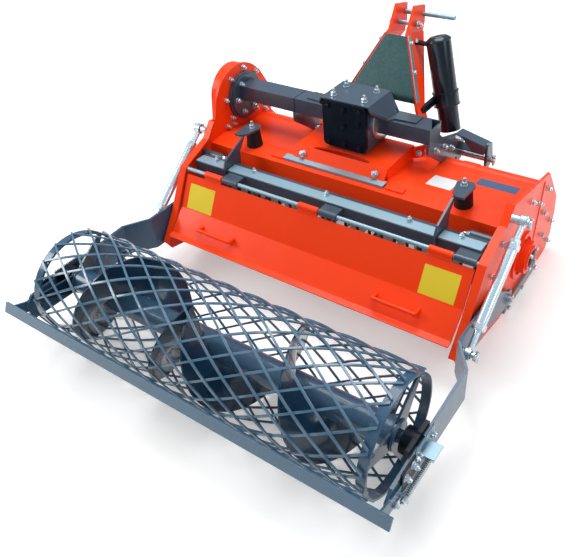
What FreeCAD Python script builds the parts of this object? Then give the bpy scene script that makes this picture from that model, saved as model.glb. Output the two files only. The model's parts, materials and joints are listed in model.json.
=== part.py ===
"""Tractor-mounted rotary stone crusher and burier with a mesh packer roller, at full size in millimetres.

+X is the machine's right, +Y points forwards to the tractor and +Z is up.  The floor is z = 0.
Shapes are drawn with y = 0 on the rotor's axis, and save() moves them so that the origin is under the
middle of the machine.
"""
import FreeCAD, Part
import math
import os

V = FreeCAD.Vector

# ---------------------------------------------------------------- housing
PLATE = 10.0                  # side plates, roller arms, hitch plates
SHEET = 6.0                   # hood and door sheet
GAP = 0.3                     # air between pieces of different bodies that lie on each other
BORE_AIR = 0.05               # round a shaft in its bearing
EYE_AIR = 0.08                # round a pin in its eye
INNER_HALF = 645.0            # inner faces of the side plates
RIM = 20.0                    # inward rim along the rear edge of each side plate
DOOR_SIDE_GAP = 6.0
HOOD_CREASE_Y, HOOD_CREASE_Z = -172.0, 408.0
HOOD_RIDGE_Y, HOOD_RIDGE_Z = -82.0, 416.0
HOOD_SKIRT = 70.0             # rear face of the hood, down from its crease
FRONT_TUBE_Y, FRONT_TUBE_Z = 185.0, 358.0
FRONT_TUBE_R = 38.0
APRON_LOW_Y, APRON_LOW_Z = 322.0, 215.0
LOBE_Y, LOBE_Z, LOBE_R = 50.0, 497.0, 166.0
SKID_LENGTH, SKID_H, SKID_W = 300.0, 44.0, 12.0
SKID_REAR_Y, SKID_LOW = -130.0, 12.0

# ---------------------------------------------------------------- rotor
ROTOR_Z = 195.0
ROTOR_TIP_R = 178.0
ROTOR_TUBE_R = 65.0
ROTOR_DISC_R = 118.0
ROTOR_DISC_T = 12.0
ROTOR_DISCS = 9
TEETH_PER_DISC = 4
TOOTH_W, TOOTH_T = 46.0, 14.0
ROTOR_END_GAP = 26.0          # end discs to the side plates
ROTOR_SHAFT_R = 24.0
HUB_R, HUB_DEEP = 62.0, 34.0
HUB_CAP_STEP, HUB_CAP_T = 14.0, 6.0

# ---------------------------------------------------------------- rear door
HINGE_Y, HINGE_Z = -345.0, 378.0
HINGE_ROD_R = 8.0
BARREL_R = 13.0
BARREL_L = 86.0
BARREL_TAB = 5.0              # from the barrels down to the door panel
HOLDER_GAP = 5.0              # along the rod, from each barrel to its holder
BARREL_X = (-526.0, -72.0, 453.0)
HOLDER_L = 74.0
CREASE_Y, CREASE_Z = -425.0, 243.0
DOOR_END_Y, DOOR_END_Z = -501.0, 165.0
LIP = 24.0
HANDLE_X, HANDLE_Y = 400.0, -458.0
HANDLE_W, HANDLE_R = 161.0, 7.0
HANDLE_OUT, HANDLE_RISE = 33.0, 3.0

# ---------------------------------------------------------------- comb beam and its rubber stops
COMB_Y, COMB_TOP_Z = -271.0, 400.0
COMB_D, COMB_H = 66.0, 50.0
COMB_END_GAP = 29.0           # beam ends to the side plates
COMB_WALL = 6.0
COMB_STRIP_T, COMB_STRIP_D = 5.0, 46.0
TINE_R = 6.0
TINES = 24
TINE_LOW_Z = 105.0
PIVOT_TUBE_R, PIVOT_TUBE_L = 17.0, 104.0
BUMPER_X, BUMPER_Y = 461.0, -106.0
BUMPER_R, BUMPER_H = 34.0, 71.0
ARM_WEB_X, ARM_PLATE = 450.0, 8.0

# ---------------------------------------------------------------- drive line
GEAR_X = -50.0
GEAR_LOW, GEAR_H = 462.0, 196.0
GEAR_W, GEAR_DEEP = 179.0, 150.0
GEAR_ROUND, COVER_ROUND = 20.0, 18.0
COVER_OVER, COVER_T = 4.0, 16.0       # cover past each side of the gearbox, and its thickness
COVER_LIFT = 15.0             # foot of the cover above the gearbox foot
COVER_Y = -62.0               # rear face of the gearbox cover
DRIVE_LIFT = 94.0             # drive shaft above the gearbox foot
TUBE_D, TUBE_H, TUBE_WALL = 88.0, 60.0, 6.0
TUBE_Y = 68.0
DISC_DROP, DISC_R, DISC_T = 30.0, 100.0, 23.0
CASE_DEEP, CASE_WALL = 62.0, 6.0
CASE_TOP_R, CASE_LOW_R = 126.0, 108.0
PTO_R, PTO_LENGTH, PTO_HELD = 17.4, 76.0, 30.0
PTO_INSET = 4.5               # shaft's rear end ahead of the gearbox face
GUARD_R, GUARD_REAR_R, GUARD_LENGTH, GUARD_T = 72.0, 58.0, 76.0, 4.0
ROOF_OVER, ROOF_SLOPE, ROOF_WING, ROOF_T = 10.5, 38.0, 104.0, 6.0
ROOF_BACK, ROOF_LIP = 6.0, 1.0        # rear edge ahead of the cover, front edge past the gearbox
CRADLE_HALF, CRADLE_T = 205.0, 8.0
CRADLE_BACK, CRADLE_LIP = 34.0, 6.0   # rear edge behind the cover, front edge past the gearbox
CRADLE_LEAN = 27.0            # foot of the rear face behind its top
CRADLE_WINDOW, CRADLE_WINDOW_DEEP = 127.0, 34.0
CRADLE_FLANGE = 38.0          # front flanges below the floor
PAD_BACK, PAD_D, PAD_T = 54.0, 32.0, 11.0
PAD_OVER = (30.0, 10.0)       # past the left and right ends of the cradle

# ---------------------------------------------------------------- three-point hitch
HITCH_X = -44.0               # middle of the hitch
HITCH_HALF = 294.0            # inner faces of the hitch plates, from HITCH_X
LINK_PIN_Y, LINK_PIN_Z = 314.0, 357.0
LINK_PIN_R = 11.0
LINK_PIN_OUT = 26.0           # free end outside the outer cheek
PIN_STEP = 0.5                # a pin's free end is this much thinner than its held part
LINK_GAP = 115.0              # between the inner and outer cheeks
CHEEK_R = 32.0
TOP_PIN_Y, TOP_PIN_Z = 455.0, 832.0
TOP_PIN_R = 9.5
TOP_PIN_OUT = 135.0
EAR_GAP, EAR_T = 66.0, 12.0
EAR_FRONT = 16.0              # ear in front of the pin
SPACER_R, SPACER_BACK, SPACER_DOWN = 9.0, 55.0, 24.0
LEG_SPREAD = 120.0            # outwards in one leg run
LEG_RUNS = 1.70               # leg runs from the ear to behind the front tube
LEG_FOOT_BACK, LEG_FOOT_UP = 80.0, 2.9
LEG_START_BACK, LEG_START_DOWN = 129.0, 37.0
LEG_ACROSS = (0.0, 1.0, -0.256)       # forwards across the leg
GUARD_SHEET = 2.5
DOC_TOP_X, DOC_BACK, DOC_DOWN = 100.0, 61.0, 69.0
DOC_LOW = (190.0, 362.0, 420.0)
DOC_R, DOC_COLLAR_R, DOC_LOW_R = 48.0, 51.0, 42.0

# ---------------------------------------------------------------- roller frame
ARM_CLEAR = 8.0               # arms beside the housing, off its side plates
ARM_JOG = 65.0                # outwards at the joggle
ARM_H = 140.0
ARM_RISE = 45.0               # top edge above the roller axis
ARM_PIVOT_Y, ARM_PIVOT_Z = -135.0, 92.0
ARM_PIVOT_R = 12.0
ARM_EYE_R = 36.0
ARM_BEND_Y, ARM_BEND_RUN = -560.0, 88.0
ARM_SHORT = 42.0              # arm ends ahead of the scraper
SCRAPER_OVER = 40.0           # scraper past the outer faces of the arms
SCRAPER_BACK, SCRAPER_RISE = 37.0, 20.0       # top edge behind the roller and above its axis
SCRAPER_W, SCRAPER_T = 38.0, 8.0
SCRAPER_LEAN = 28.0
BRACKET_REACH, BRACKET_T = 120.0, 6.0
SPRING_R, SPRING_L = 9.0, 139.0
SPRING_AIR, SPRING_DROP = 5.0, 88.0   # off the arm's face, and below the scraper's top edge
SPRING_BACK = 78.0            # rear end ahead of the arm's end
LUG_W, LUG_H, LUG_T = 26.0, 28.0, 10.0

# ---------------------------------------------------------------- roller
ROLLER_Y = -933.0
ROLLER_R = 200.0
ROLLER_END_GAP = 56.0         # roller ends to the arms
BAND_W, BAND_T = 30.0, 8.0
SPOKES = 3
SPOKE_TURN = 45.0             # of the first spoke, up from straight ahead
SPOKE_T = 8.0
SPOKE_ROOT, SPOKE_KNEE, SPOKE_TIP = 33.0, 24.0, 8.0          # half widths from the tube outwards
SPOKE_KNEE_OUT = 54.0         # from the tube to the knee
SPOKE_OVER = 4.6              # drawn past the band's inside before it is trimmed to it
ROLLER_TUBE_R = 46.0
AXLE_R = 20.0
BEARING_R, BEARING_FLANGE = 42.0, 14.0
STRAND_W, STRAND_T = 8.0, 5.0         # of one strand of the mesh: round the roller and through it
STRANDS = 17
STRAND_LENGTHS = 6            # each strand is welded up from this many lengths
STRAND_SHORT = 8.0            # strands end inside the outer edge of the bands
STRAND_TURN = 18.2
DIAMOND_L = 121.5             # length of one diamond of the mesh
AUGER_MIDDLE = -36.0          # where the two flights meet
AUGER_TURN = 100.0            # of that meeting line, up from straight ahead
AUGER_PITCH = 365.0
AUGER_CLEAR = 5.4             # inside the mesh
AUGER_END_GAP = 10.0          # flights to the end bands
AUGER_T = 6.0
AUGER_LENGTHS = 8

# ---------------------------------------------------------------- turnbuckles
TB_OFF = 21.0                 # middle of the turnbuckle off the arm beside it
TB_TOP_Y, TB_TOP_Z = -175.0, 462.0
TB_LOW_Y, TB_LOW_Z = -540.0, 185.0
TB_SLEEVE_R = 18.0
TB_ROD_R = 10.0
TB_PIN_R = 9.0
TB_EYE_R = 21.0
TB_EYE_T = 18.0
TB_END = 78.0                 # screw and eye left outside the sleeve at each end

# ---------------------------------------------------------------- worked out
PLATE_OUT = INNER_HALF + PLATE
DOOR_HALF = INNER_HALF - RIM - DOOR_SIDE_GAP
COMB_HALF = INNER_HALF - COMB_END_GAP
GEAR_REAR = COVER_Y + COVER_T
GEAR_FRONT = GEAR_REAR + GEAR_DEEP
GEAR_TOP = GEAR_LOW + GEAR_H
COVER_W, COVER_LOW = GEAR_W + 2 * COVER_OVER, GEAR_LOW + COVER_LIFT
DRIVE_Z = GEAR_LOW + DRIVE_LIFT
DISC_Z = DRIVE_Z - DISC_DROP
ROOF_HALF = GEAR_W / 2 + ROOF_OVER
ROOF_REAR_Y, ROOF_FRONT_Y = COVER_Y + ROOF_BACK, GEAR_FRONT + ROOF_LIP
CRADLE_REAR_Y, CRADLE_FRONT_Y = COVER_Y - CRADLE_BACK, GEAR_FRONT + CRADLE_LIP
PAD_REAR_Y = CRADLE_REAR_Y - PAD_BACK
LEG_START_Y, LEG_START_Z = TOP_PIN_Y - LEG_START_BACK, TOP_PIN_Z - LEG_START_DOWN
LEG_RUN = (LEG_SPREAD, -(LEG_START_Y - FRONT_TUBE_Y + LEG_FOOT_BACK) / LEG_RUNS,
           -(LEG_START_Z - FRONT_TUBE_Z - FRONT_TUBE_R - LEG_FOOT_UP) / LEG_RUNS)
DOC_TOP = (DOC_TOP_X, TOP_PIN_Y - DOC_BACK, TOP_PIN_Z - DOC_DOWN)
ARM_IN = PLATE_OUT + ARM_CLEAR
ARM_OUT = ARM_IN + ARM_JOG
ARM_TOP_Z = ROLLER_R + ARM_RISE
ROLLER_HALF = ARM_OUT - ROLLER_END_GAP
SCRAPER_HALF = ARM_OUT + PLATE + SCRAPER_OVER
SCRAPER_TOP_Y, SCRAPER_TOP_Z = ROLLER_Y - ROLLER_R - SCRAPER_BACK, ROLLER_R + SCRAPER_RISE
ARM_END_Y = SCRAPER_TOP_Y + ARM_SHORT
TB_X = ARM_IN + PLATE + TB_OFF
COMB_REAR, COMB_FRONT = COMB_Y - COMB_D / 2, COMB_Y + COMB_D / 2
COMB_LOW_Z = COMB_TOP_Z - COMB_STRIP_T - COMB_H
REAR_MOST = SCRAPER_TOP_Y - SCRAPER_W * math.sin(math.radians(SCRAPER_LEAN))
FRONT_MOST = TOP_PIN_Y + EAR_FRONT
Y_SHIFT = -(REAR_MOST + FRONT_MOST) / 2


# ---------------------------------------------------------------- small makers
def block(x0, x1, y0, y1, z0, z1):
    return Part.makeBox(x1 - x0, y1 - y0, z1 - z0, V(x0, y0, z0))


def rod(start, end, radius):
    start, end = V(*start), V(*end)
    return Part.makeCylinder(radius, (end - start).Length, start, end - start)


def rod_x(x0, x1, y, z, radius):
    return Part.makeCylinder(radius, x1 - x0, V(x0, y, z), V(1, 0, 0))


def tube_x(x0, x1, y, z, outer, inner):
    return rod_x(x0, x1, y, z, outer).cut(rod_x(x0 - 1, x1 + 1, y, z, inner))


def slab(points, x0, x1):
    """A plate across x: the outline is given as (y, z) points."""
    wire = Part.makePolygon([V(x0, y, z) for y, z in points + points[:1]])
    return Part.Face(wire).extrude(V(x1 - x0, 0, 0))


def bent_sheet(points, thick, x0, x1):
    """A sheet across x whose outer side follows the (y, z) points, thickened to the right of its travel."""
    normals = []
    for (ya, za), (yb, zb) in zip(points, points[1:]):
        run = math.hypot(yb - ya, zb - za)
        normals.append(((zb - za) / run, -(yb - ya) / run))
    inner = []
    for i, (y, z) in enumerate(points):
        before = normals[max(i - 1, 0)]
        after = normals[min(i, len(normals) - 1)]
        ny, nz = before[0] + after[0], before[1] + after[1]
        scale = thick / (ny * after[0] + nz * after[1])
        inner.append((y + ny * scale, z + nz * scale))
    return slab(points + inner[::-1], x0, x1)


def stadium(x0, x1, y0, z0, r0, y1, z1, r1):
    """A plate across x round two centres, with straight sides that touch both circles."""
    run = math.hypot(y1 - y0, z1 - z0)
    lean = math.atan2(z1 - z0, y1 - y0)
    open_angle = math.acos((r0 - r1) / run)
    points = []
    for (y, z, r), side in (((y0, z0, r0), 1), ((y1, z1, r1), 1), ((y1, z1, r1), -1), ((y0, z0, r0), -1)):
        a = lean + side * open_angle
        points.append((y + r * math.cos(a), z + r * math.sin(a)))
    shape = slab(points, x0, x1)
    return shape.fuse([rod_x(x0, x1, y0, z0, r0), rod_x(x0, x1, y1, z1, r1)]).removeSplitter()


def slab_y(points, y0, y1):
    """A plate across y: the outline is given as (x, z) points."""
    wire = Part.makePolygon([V(x, y0, z) for x, z in points + points[:1]])
    return Part.Face(wire).extrude(V(0, y1 - y0, 0))


def slab_z(points, z0, z1):
    """A level plate: the outline is given as (x, y) points."""
    wire = Part.makePolygon([V(x, y, z0) for x, y in points + points[:1]])
    return Part.Face(wire).extrude(V(0, 0, z1 - z0))


def biggest(shape):
    return max(shape.Solids, key=lambda solid: solid.Volume)


def turned(shape, x, y, z, axis, degrees):
    copy = shape.copy()
    copy.rotate(V(x, y, z), V(*axis), degrees)
    return copy


def mirrored(shape, x=0.0):
    return shape.mirror(V(x, 0, 0), V(1, 0, 0))


def both_sides(shape, x=0.0):
    return Part.makeCompound([shape, mirrored(shape, x)])


def save(name, shape):
    shape = shape.copy()
    shape.translate(V(0, Y_SHIFT, 0))
    shape.exportStep("parts/" + name + ".step")


# ---------------------------------------------------------------- housing
def rim_line():
    """Rear edge of a side plate from its low end up to the top corner."""
    return [(DOOR_END_Y - 29, DOOR_END_Z - 47), (CREASE_Y - 27, CREASE_Z - 21),
            (HINGE_Y - 10, HINGE_Z + 9), (HOOD_CREASE_Y - 34, HOOD_CREASE_Z + 35),
            (HOOD_CREASE_Y + 17, HOOD_CREASE_Z + 92)]


def side_outline():
    return rim_line() + [(FRONT_TUBE_Y + 15, FRONT_TUBE_Z + 75), (APRON_LOW_Y + 37, APRON_LOW_Z + 31),
                         (APRON_LOW_Y + 52, 165.0), (APRON_LOW_Y + 48, 62.0), (APRON_LOW_Y + 16, 8.0),
                         (APRON_LOW_Y - 30, 0.0),
                         (-150.0, 0.0), (DOOR_END_Y, 70.0)]


def side_plate_right():
    plate = slab(side_outline(), INNER_HALF, PLATE_OUT)
    rim = bent_sheet(rim_line(), SHEET, INNER_HALF - RIM, INNER_HALF)
    plate = plate.fuse(rim)
    return plate.cut(rod_x(INNER_HALF - 1, PLATE_OUT + 1, 0, ROTOR_Z, ROTOR_SHAFT_R + 4)).removeSplitter()


def side_plate_left():
    """The left plate carries a round lobe above the hood for the top of the chain case."""
    low = mirrored(side_plate_right())
    lobe = rod_x(-PLATE_OUT, -INNER_HALF, LOBE_Y, LOBE_Z, LOBE_R)
    shape = [(-1.10, -0.12), (-0.95, 0.25), (0, 0), (0.83, 0.60), (1.15, 0.07), (1.15, -0.80), (0, -0.80)]
    neck = slab([(LOBE_Y + LOBE_R * a, LOBE_Z + LOBE_R * b) for a, b in shape], -PLATE_OUT, -INNER_HALF)
    return low.fuse([lobe, neck]).removeSplitter()


def hood_line():
    return [(FRONT_TUBE_Y - 20, FRONT_TUBE_Z + FRONT_TUBE_R - 4), (HOOD_RIDGE_Y, HOOD_RIDGE_Z),
            (HOOD_CREASE_Y, HOOD_CREASE_Z), (HOOD_CREASE_Y - 6, HOOD_CREASE_Z - HOOD_SKIRT)]


def hood_top_at(y):
    """Height of the hood's top sheet at a place between the front tube and the crease."""
    front, ridge, crease = hood_line()[:3]
    (y0, z0), (y1, z1) = (front, ridge) if y > HOOD_RIDGE_Y else (ridge, crease)
    return z1 + (z0 - z1) * (y - y1) / (y0 - y1)


def over_hood(rear, front, lift=0.0):
    """Points along the hood's top sheet, or above it, from one place forwards to another."""
    places = [rear] + [HOOD_RIDGE_Y] * (rear < HOOD_RIDGE_Y < front) + [front]
    return [(y, hood_top_at(y) + lift) for y in places]


def front_tube():
    return rod_x(-INNER_HALF, INNER_HALF, FRONT_TUBE_Y, FRONT_TUBE_Z, FRONT_TUBE_R)


def hood():
    sheet = bent_sheet(hood_line()[::-1], SHEET, -INNER_HALF, INNER_HALF)
    return sheet.cut(front_tube())


def front_apron():
    line = [(FRONT_TUBE_Y + FRONT_TUBE_R - 6, FRONT_TUBE_Z - 8), (APRON_LOW_Y, APRON_LOW_Z),
            (APRON_LOW_Y - 30, APRON_LOW_Z - 95)]
    return bent_sheet(line, SHEET, -INNER_HALF, INNER_HALF).cut(front_tube())


def skids():
    """Flat bars along the feet of the side plates, clear of the floor."""
    rear, front, low = SKID_REAR_Y, SKID_REAR_Y + SKID_LENGTH, SKID_LOW
    bar = slab([(rear, low), (front, low), (front + 12, low + SKID_H), (rear + 12, low + SKID_H)],
               PLATE_OUT, PLATE_OUT + SKID_W)
    return both_sides(bar)


# ---------------------------------------------------------------- rotor
def rotor_span():
    return INNER_HALF - ROTOR_END_GAP


def rotor_shaft():
    half = rotor_span()
    drum = tube_x(-half, half, 0, ROTOR_Z, ROTOR_TUBE_R, ROTOR_TUBE_R - 10)
    shapes = [drum]
    for side in (-1, 1):
        inner, outer = sorted((side * (half - 30), side * (PLATE_OUT + HUB_DEEP - 8)))
        shapes.append(rod_x(inner, outer, 0, ROTOR_Z, ROTOR_SHAFT_R))
        inner, outer = sorted((side * (half - 12), side * half))
        shapes.append(rod_x(inner, outer, 0, ROTOR_Z, ROTOR_TUBE_R - 4))
    return shapes[0].fuse(shapes[1:]).removeSplitter()


def disc_places():
    half = rotor_span() - 40
    return [-half + 2 * half * i / (ROTOR_DISCS - 1) for i in range(ROTOR_DISCS)]


def rotor_discs():
    return Part.makeCompound([tube_x(x - ROTOR_DISC_T / 2, x + ROTOR_DISC_T / 2, 0, ROTOR_Z,
                                     ROTOR_DISC_R, ROTOR_TUBE_R) for x in disc_places()])


def rotor_teeth():
    teeth = []
    low, high = ROTOR_Z - TOOTH_W / 2, ROTOR_Z + TOOTH_W / 2
    for n, x in enumerate(disc_places()):
        for k in range(TEETH_PER_DISC):
            side = 1 if (k + n) % 2 else -1
            x0, x1 = sorted((x + side * ROTOR_DISC_T / 2, x + side * (ROTOR_DISC_T / 2 + TOOTH_T)))
            tooth = slab([(ROTOR_TUBE_R + 8, low), (ROTOR_TIP_R - 6, low),
                          (ROTOR_TIP_R - 12, high), (ROTOR_TUBE_R + 14, high)], x0, x1)
            angle = 360.0 / TEETH_PER_DISC * k + 20.0 * n
            teeth.append(turned(tooth, 0, 0, ROTOR_Z, (1, 0, 0), angle))
    return Part.makeCompound(teeth)


def rotor_bearing_hubs():
    outer = PLATE_OUT + HUB_DEEP
    hub = tube_x(PLATE_OUT, outer, 0, ROTOR_Z, HUB_R, ROTOR_SHAFT_R + BORE_AIR)
    cap = rod_x(outer, outer + HUB_CAP_T, 0, ROTOR_Z, HUB_R - HUB_CAP_STEP)
    return hub.fuse(cap).removeSplitter()


# ---------------------------------------------------------------- rear door
def down_door(distance, out=0.0):
    """A point down the door's upper panel from the hinge axis, moved level to the rear by out."""
    run = math.hypot(CREASE_Y - HINGE_Y, CREASE_Z - HINGE_Z)
    dy, dz = (CREASE_Y - HINGE_Y) / run, (CREASE_Z - HINGE_Z) / run
    return HINGE_Y + dy * distance - out, HINGE_Z + dz * distance


def door_panel():
    top = down_door(BARREL_R + BARREL_TAB, 4)
    line = [top, (CREASE_Y, CREASE_Z), (DOOR_END_Y, DOOR_END_Z), (DOOR_END_Y - LIP, DOOR_END_Z - 4)]
    return bent_sheet(line[::-1], SHEET, -DOOR_HALF, DOOR_HALF)


def door_barrels():
    barrels = []
    near, far = BARREL_R - 3, BARREL_R + BARREL_TAB
    root_y, root_z = down_door(near, 6)
    outline = [(root_y, root_z + 2), down_door(far, 6), down_door(far, -4), down_door(near, -4)]
    for x in BARREL_X:
        ring = tube_x(x, x + BARREL_L, HINGE_Y, HINGE_Z, BARREL_R, HINGE_ROD_R + EYE_AIR)
        tab = slab(outline, x, x + BARREL_L)
        tab = tab.cut(rod_x(x - 1, x + BARREL_L + 1, HINGE_Y, HINGE_Z, HINGE_ROD_R + 0.5))
        barrels.append(ring.fuse(tab).removeSplitter())
    return Part.makeCompound(barrels)


def door_handles():
    share = (HANDLE_Y - CREASE_Y) / (DOOR_END_Y - CREASE_Y)
    z = CREASE_Z + (DOOR_END_Z - CREASE_Z) * share
    out_y, out_z = HANDLE_Y - HANDLE_OUT, z + HANDLE_RISE
    handles = []
    for centre in (-HANDLE_X, HANDLE_X):
        ends = (centre - HANDLE_W / 2, centre + HANDLE_W / 2)
        legs = [rod((x, HANDLE_Y + 2, z - 2), (x, out_y, out_z), HANDLE_R) for x in ends]
        knees = [Part.makeSphere(HANDLE_R, V(x, out_y, out_z)) for x in ends]
        bar = rod((ends[0], out_y, out_z), (ends[1], out_y, out_z), HANDLE_R)
        handles.append(bar.fuse(legs + knees).cut(door_panel()))
    return Part.makeCompound([biggest(handle) for handle in handles])


def hinge_rod():
    half = INNER_HALF - RIM
    return rod_x(-half, half, HINGE_Y, HINGE_Z, HINGE_ROD_R)


def hinge_holders():
    holders = []
    for x in BARREL_X:
        x0 = x + BARREL_L + HOLDER_GAP
        x1 = x0 + HOLDER_L
        ring = rod_x(x0, x1, HINGE_Y, HINGE_Z, BARREL_R)
        arm = block(x0, x1, HINGE_Y, COMB_REAR, HINGE_Z, HINGE_Z + BARREL_R)
        bore = rod_x(x0 - 1, x1 + 1, HINGE_Y, HINGE_Z, HINGE_ROD_R)
        holders.append(ring.fuse(arm).cut(bore).removeSplitter())
    return Part.makeCompound(holders)


# ---------------------------------------------------------------- comb beam
def comb_beam():
    """A channel, open at the bottom."""
    top = COMB_TOP_Z - COMB_STRIP_T
    beam = block(-COMB_HALF, COMB_HALF, COMB_REAR, COMB_FRONT, COMB_LOW_Z, top)
    return beam.cut(block(-COMB_HALF - 1, COMB_HALF + 1, COMB_REAR + COMB_WALL, COMB_FRONT - COMB_WALL,
                          COMB_LOW_Z - 1, top - COMB_WALL))


def comb_strip():
    """The strip along the top of the beam, in three lengths between the bumper arms."""
    near, far = ARM_WEB_X - 4, ARM_WEB_X + ARM_PLATE + 4
    return Part.makeCompound([block(x0, x1, COMB_REAR, COMB_REAR + COMB_STRIP_D,
                                    COMB_TOP_Z - COMB_STRIP_T, COMB_TOP_Z)
                              for x0, x1 in ((-COMB_HALF + 3, -far), (-near, near), (far, COMB_HALF - 3))])


def comb_tines():
    top = COMB_TOP_Z - COMB_STRIP_T - COMB_WALL
    reach = COMB_HALF - 30
    places = [-reach + 2 * reach * i / (TINES - 1) for i in range(TINES)]
    return Part.makeCompound([rod((x, COMB_Y + 6, top), (x, COMB_Y + 2, TINE_LOW_Z), TINE_R)
                              for x in places])


def pivot_tubes():
    return both_sides(rod_x(INNER_HALF - PIVOT_TUBE_L, INNER_HALF, COMB_FRONT + PIVOT_TUBE_R,
                            COMB_TOP_Z - 15, PIVOT_TUBE_R))


def bumper_top():
    return hood_top_at(BUMPER_Y) + BUMPER_H


def bumper_arms():
    """A web hooked over the comb beam and a level plate that rests on the rubber bumper."""
    top = bumper_top()
    line = [(BUMPER_Y - 67, top), (COMB_FRONT + 27, COMB_TOP_Z + 36), (COMB_FRONT + 21, COMB_TOP_Z - 23),
            (COMB_FRONT, COMB_TOP_Z - 23), (COMB_FRONT, COMB_TOP_Z - COMB_STRIP_T),
            (COMB_REAR, COMB_TOP_Z - COMB_STRIP_T), (COMB_REAR, COMB_LOW_Z + 14),
            (COMB_REAR - ARM_PLATE, COMB_LOW_Z + 14), (COMB_REAR - 12, COMB_TOP_Z + 3),
            (COMB_REAR + 7, COMB_TOP_Z + 37), (BUMPER_Y - 83, top)]
    web = slab(line, ARM_WEB_X, ARM_WEB_X + ARM_PLATE)
    plan = [(5, -83), (31, -80), (36, 6), (22, 26), (-21, 26), (-33, 6), (-19, -60)]
    shelf = slab_z([(BUMPER_X + x, BUMPER_Y + y) for x, y in plan], top, top + ARM_PLATE)
    return both_sides(web.fuse(shelf).removeSplitter())


def rubber_bumpers():
    low = hood_top_at(BUMPER_Y + BUMPER_R) - 6
    cone = Part.makeCone(BUMPER_R, BUMPER_R - 7, bumper_top() - low, V(BUMPER_X, BUMPER_Y, low))
    pieces = cone.cut(hood()).Solids
    return both_sides(max(pieces, key=lambda solid: solid.BoundBox.ZMax))


# ---------------------------------------------------------------- drive line
def upright_edges(body):
    return [e for e in body.Edges if abs(e.Vertexes[0].X - e.Vertexes[1].X) < 1
            and abs(e.Vertexes[0].Z - e.Vertexes[1].Z) < 1]


def gearbox():
    """Housing with rounded corners and a round nose at the front for the stub shaft."""
    half = GEAR_W / 2
    body = block(GEAR_X - half, GEAR_X + half, GEAR_REAR, GEAR_FRONT, GEAR_LOW, GEAR_TOP)
    body = body.makeFillet(GEAR_ROUND, upright_edges(body))
    forward = V(0, 1, 0)
    nose = Part.makeCylinder(GUARD_REAR_R - 8, 34, V(GEAR_X, GEAR_FRONT, DRIVE_Z), forward)
    nose = nose.cut(Part.makeCylinder(PTO_R + 6, 36, V(GEAR_X, GEAR_FRONT + 4, DRIVE_Z), forward))
    return body.fuse(nose).removeSplitter()


def gearbox_cover():
    half = COVER_W / 2
    cover = block(GEAR_X - half, GEAR_X + half, COVER_Y, GEAR_REAR, COVER_LOW, GEAR_TOP)
    return cover.makeFillet(COVER_ROUND, upright_edges(cover))


def drive_tube(x0, x1):
    y0, y1 = TUBE_Y - TUBE_D / 2, TUBE_Y + TUBE_D / 2
    z0, z1 = DRIVE_Z - TUBE_H / 2, DRIVE_Z + TUBE_H / 2
    w = TUBE_WALL
    return block(x0, x1, y0, y1, z0, z1).cut(block(x0 - 1, x1 + 1, y0 + w, y1 - w, z0 + w, z1 - w))


def drive_tube_left():
    """The long box tube with its flange disc on the left side plate."""
    tube = drive_tube(-INNER_HALF + DISC_T, GEAR_X - GEAR_W / 2)
    disc = rod_x(-INNER_HALF, -INNER_HALF + DISC_T - 7, TUBE_Y, DISC_Z, DISC_R)
    step = rod_x(-INNER_HALF + DISC_T - 7, -INNER_HALF + DISC_T, TUBE_Y, DISC_Z, DISC_R - 8)
    return tube.fuse([disc, step]).removeSplitter()


def drive_tube_right():
    """The short box tube, closed at its end but for an open corner at the top."""
    end = HITCH_X + HITCH_HALF + PLATE
    rear, front = TUBE_Y - TUBE_D / 2, TUBE_Y + TUBE_D / 2
    top = DRIVE_Z + TUBE_H / 2
    tube = drive_tube(GEAR_X + GEAR_W / 2, end - TUBE_WALL)
    cap = block(end - TUBE_WALL, end, rear, front, DRIVE_Z - TUBE_H / 2, top)
    corner = [(end + 1, rear + 10), (end + 1, front - TUBE_WALL), (end - 34, front - TUBE_WALL)]
    return tube.fuse(cap).cut(slab_z(corner, top - TUBE_WALL - 1, top + 1)).removeSplitter()


def gearbox_top_plate():
    """A plate bent over the gearbox, with a wing down to each drive tube."""
    tube_top = DRIVE_Z + TUBE_H / 2
    bend, foot = ROOF_HALF, ROOF_HALF + ROOF_SLOPE
    end = foot + ROOF_WING
    under = [(0, GEAR_TOP), (bend, GEAR_TOP), (foot, tube_top), (end, tube_top)]
    over = [(end, tube_top + ROOF_T), (foot + 3, tube_top + ROOF_T), (bend + 3, GEAR_TOP + ROOF_T),
            (0, GEAR_TOP + ROOF_T)]
    half = slab_y([(GEAR_X + x, z) for x, z in under + over], ROOF_REAR_Y, ROOF_FRONT_Y)
    tube_rear = TUBE_Y - TUBE_D / 2
    clear = [(bend + 10, ROOF_REAR_Y - 1), (foot - 1, tube_rear - 10), (foot + 22, tube_rear + 16),
             (end + 1, tube_rear + 21), (end + 1, ROOF_REAR_Y - 1)]
    hole = Part.makeCylinder(7, 200, V(GEAR_X + foot, ROOF_FRONT_Y - 16, GEAR_LOW), V(0, 0, 1))
    half = half.cut([slab_z([(GEAR_X + x, y) for x, y in clear], GEAR_LOW, GEAR_TOP + 20), hole])
    return half.fuse(mirrored(half, GEAR_X)).removeSplitter()


def chain_case():
    """Cover over the chain from the drive line down to the rotor."""
    outer = -PLATE_OUT - CASE_DEEP
    case = stadium(outer, -PLATE_OUT, 0, ROTOR_Z, CASE_LOW_R, TUBE_Y, DISC_Z, CASE_TOP_R)
    room = stadium(outer + CASE_WALL, -PLATE_OUT + 1, 0, ROTOR_Z, CASE_LOW_R - CASE_WALL,
                   TUBE_Y, DISC_Z, CASE_TOP_R - CASE_WALL)
    return case.cut(room)


def pto_shaft():
    start = GEAR_FRONT + PTO_INSET
    return Part.makeCylinder(PTO_R, PTO_LENGTH + PTO_HELD, V(GEAR_X, start, DRIVE_Z), V(0, 1, 0))


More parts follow.
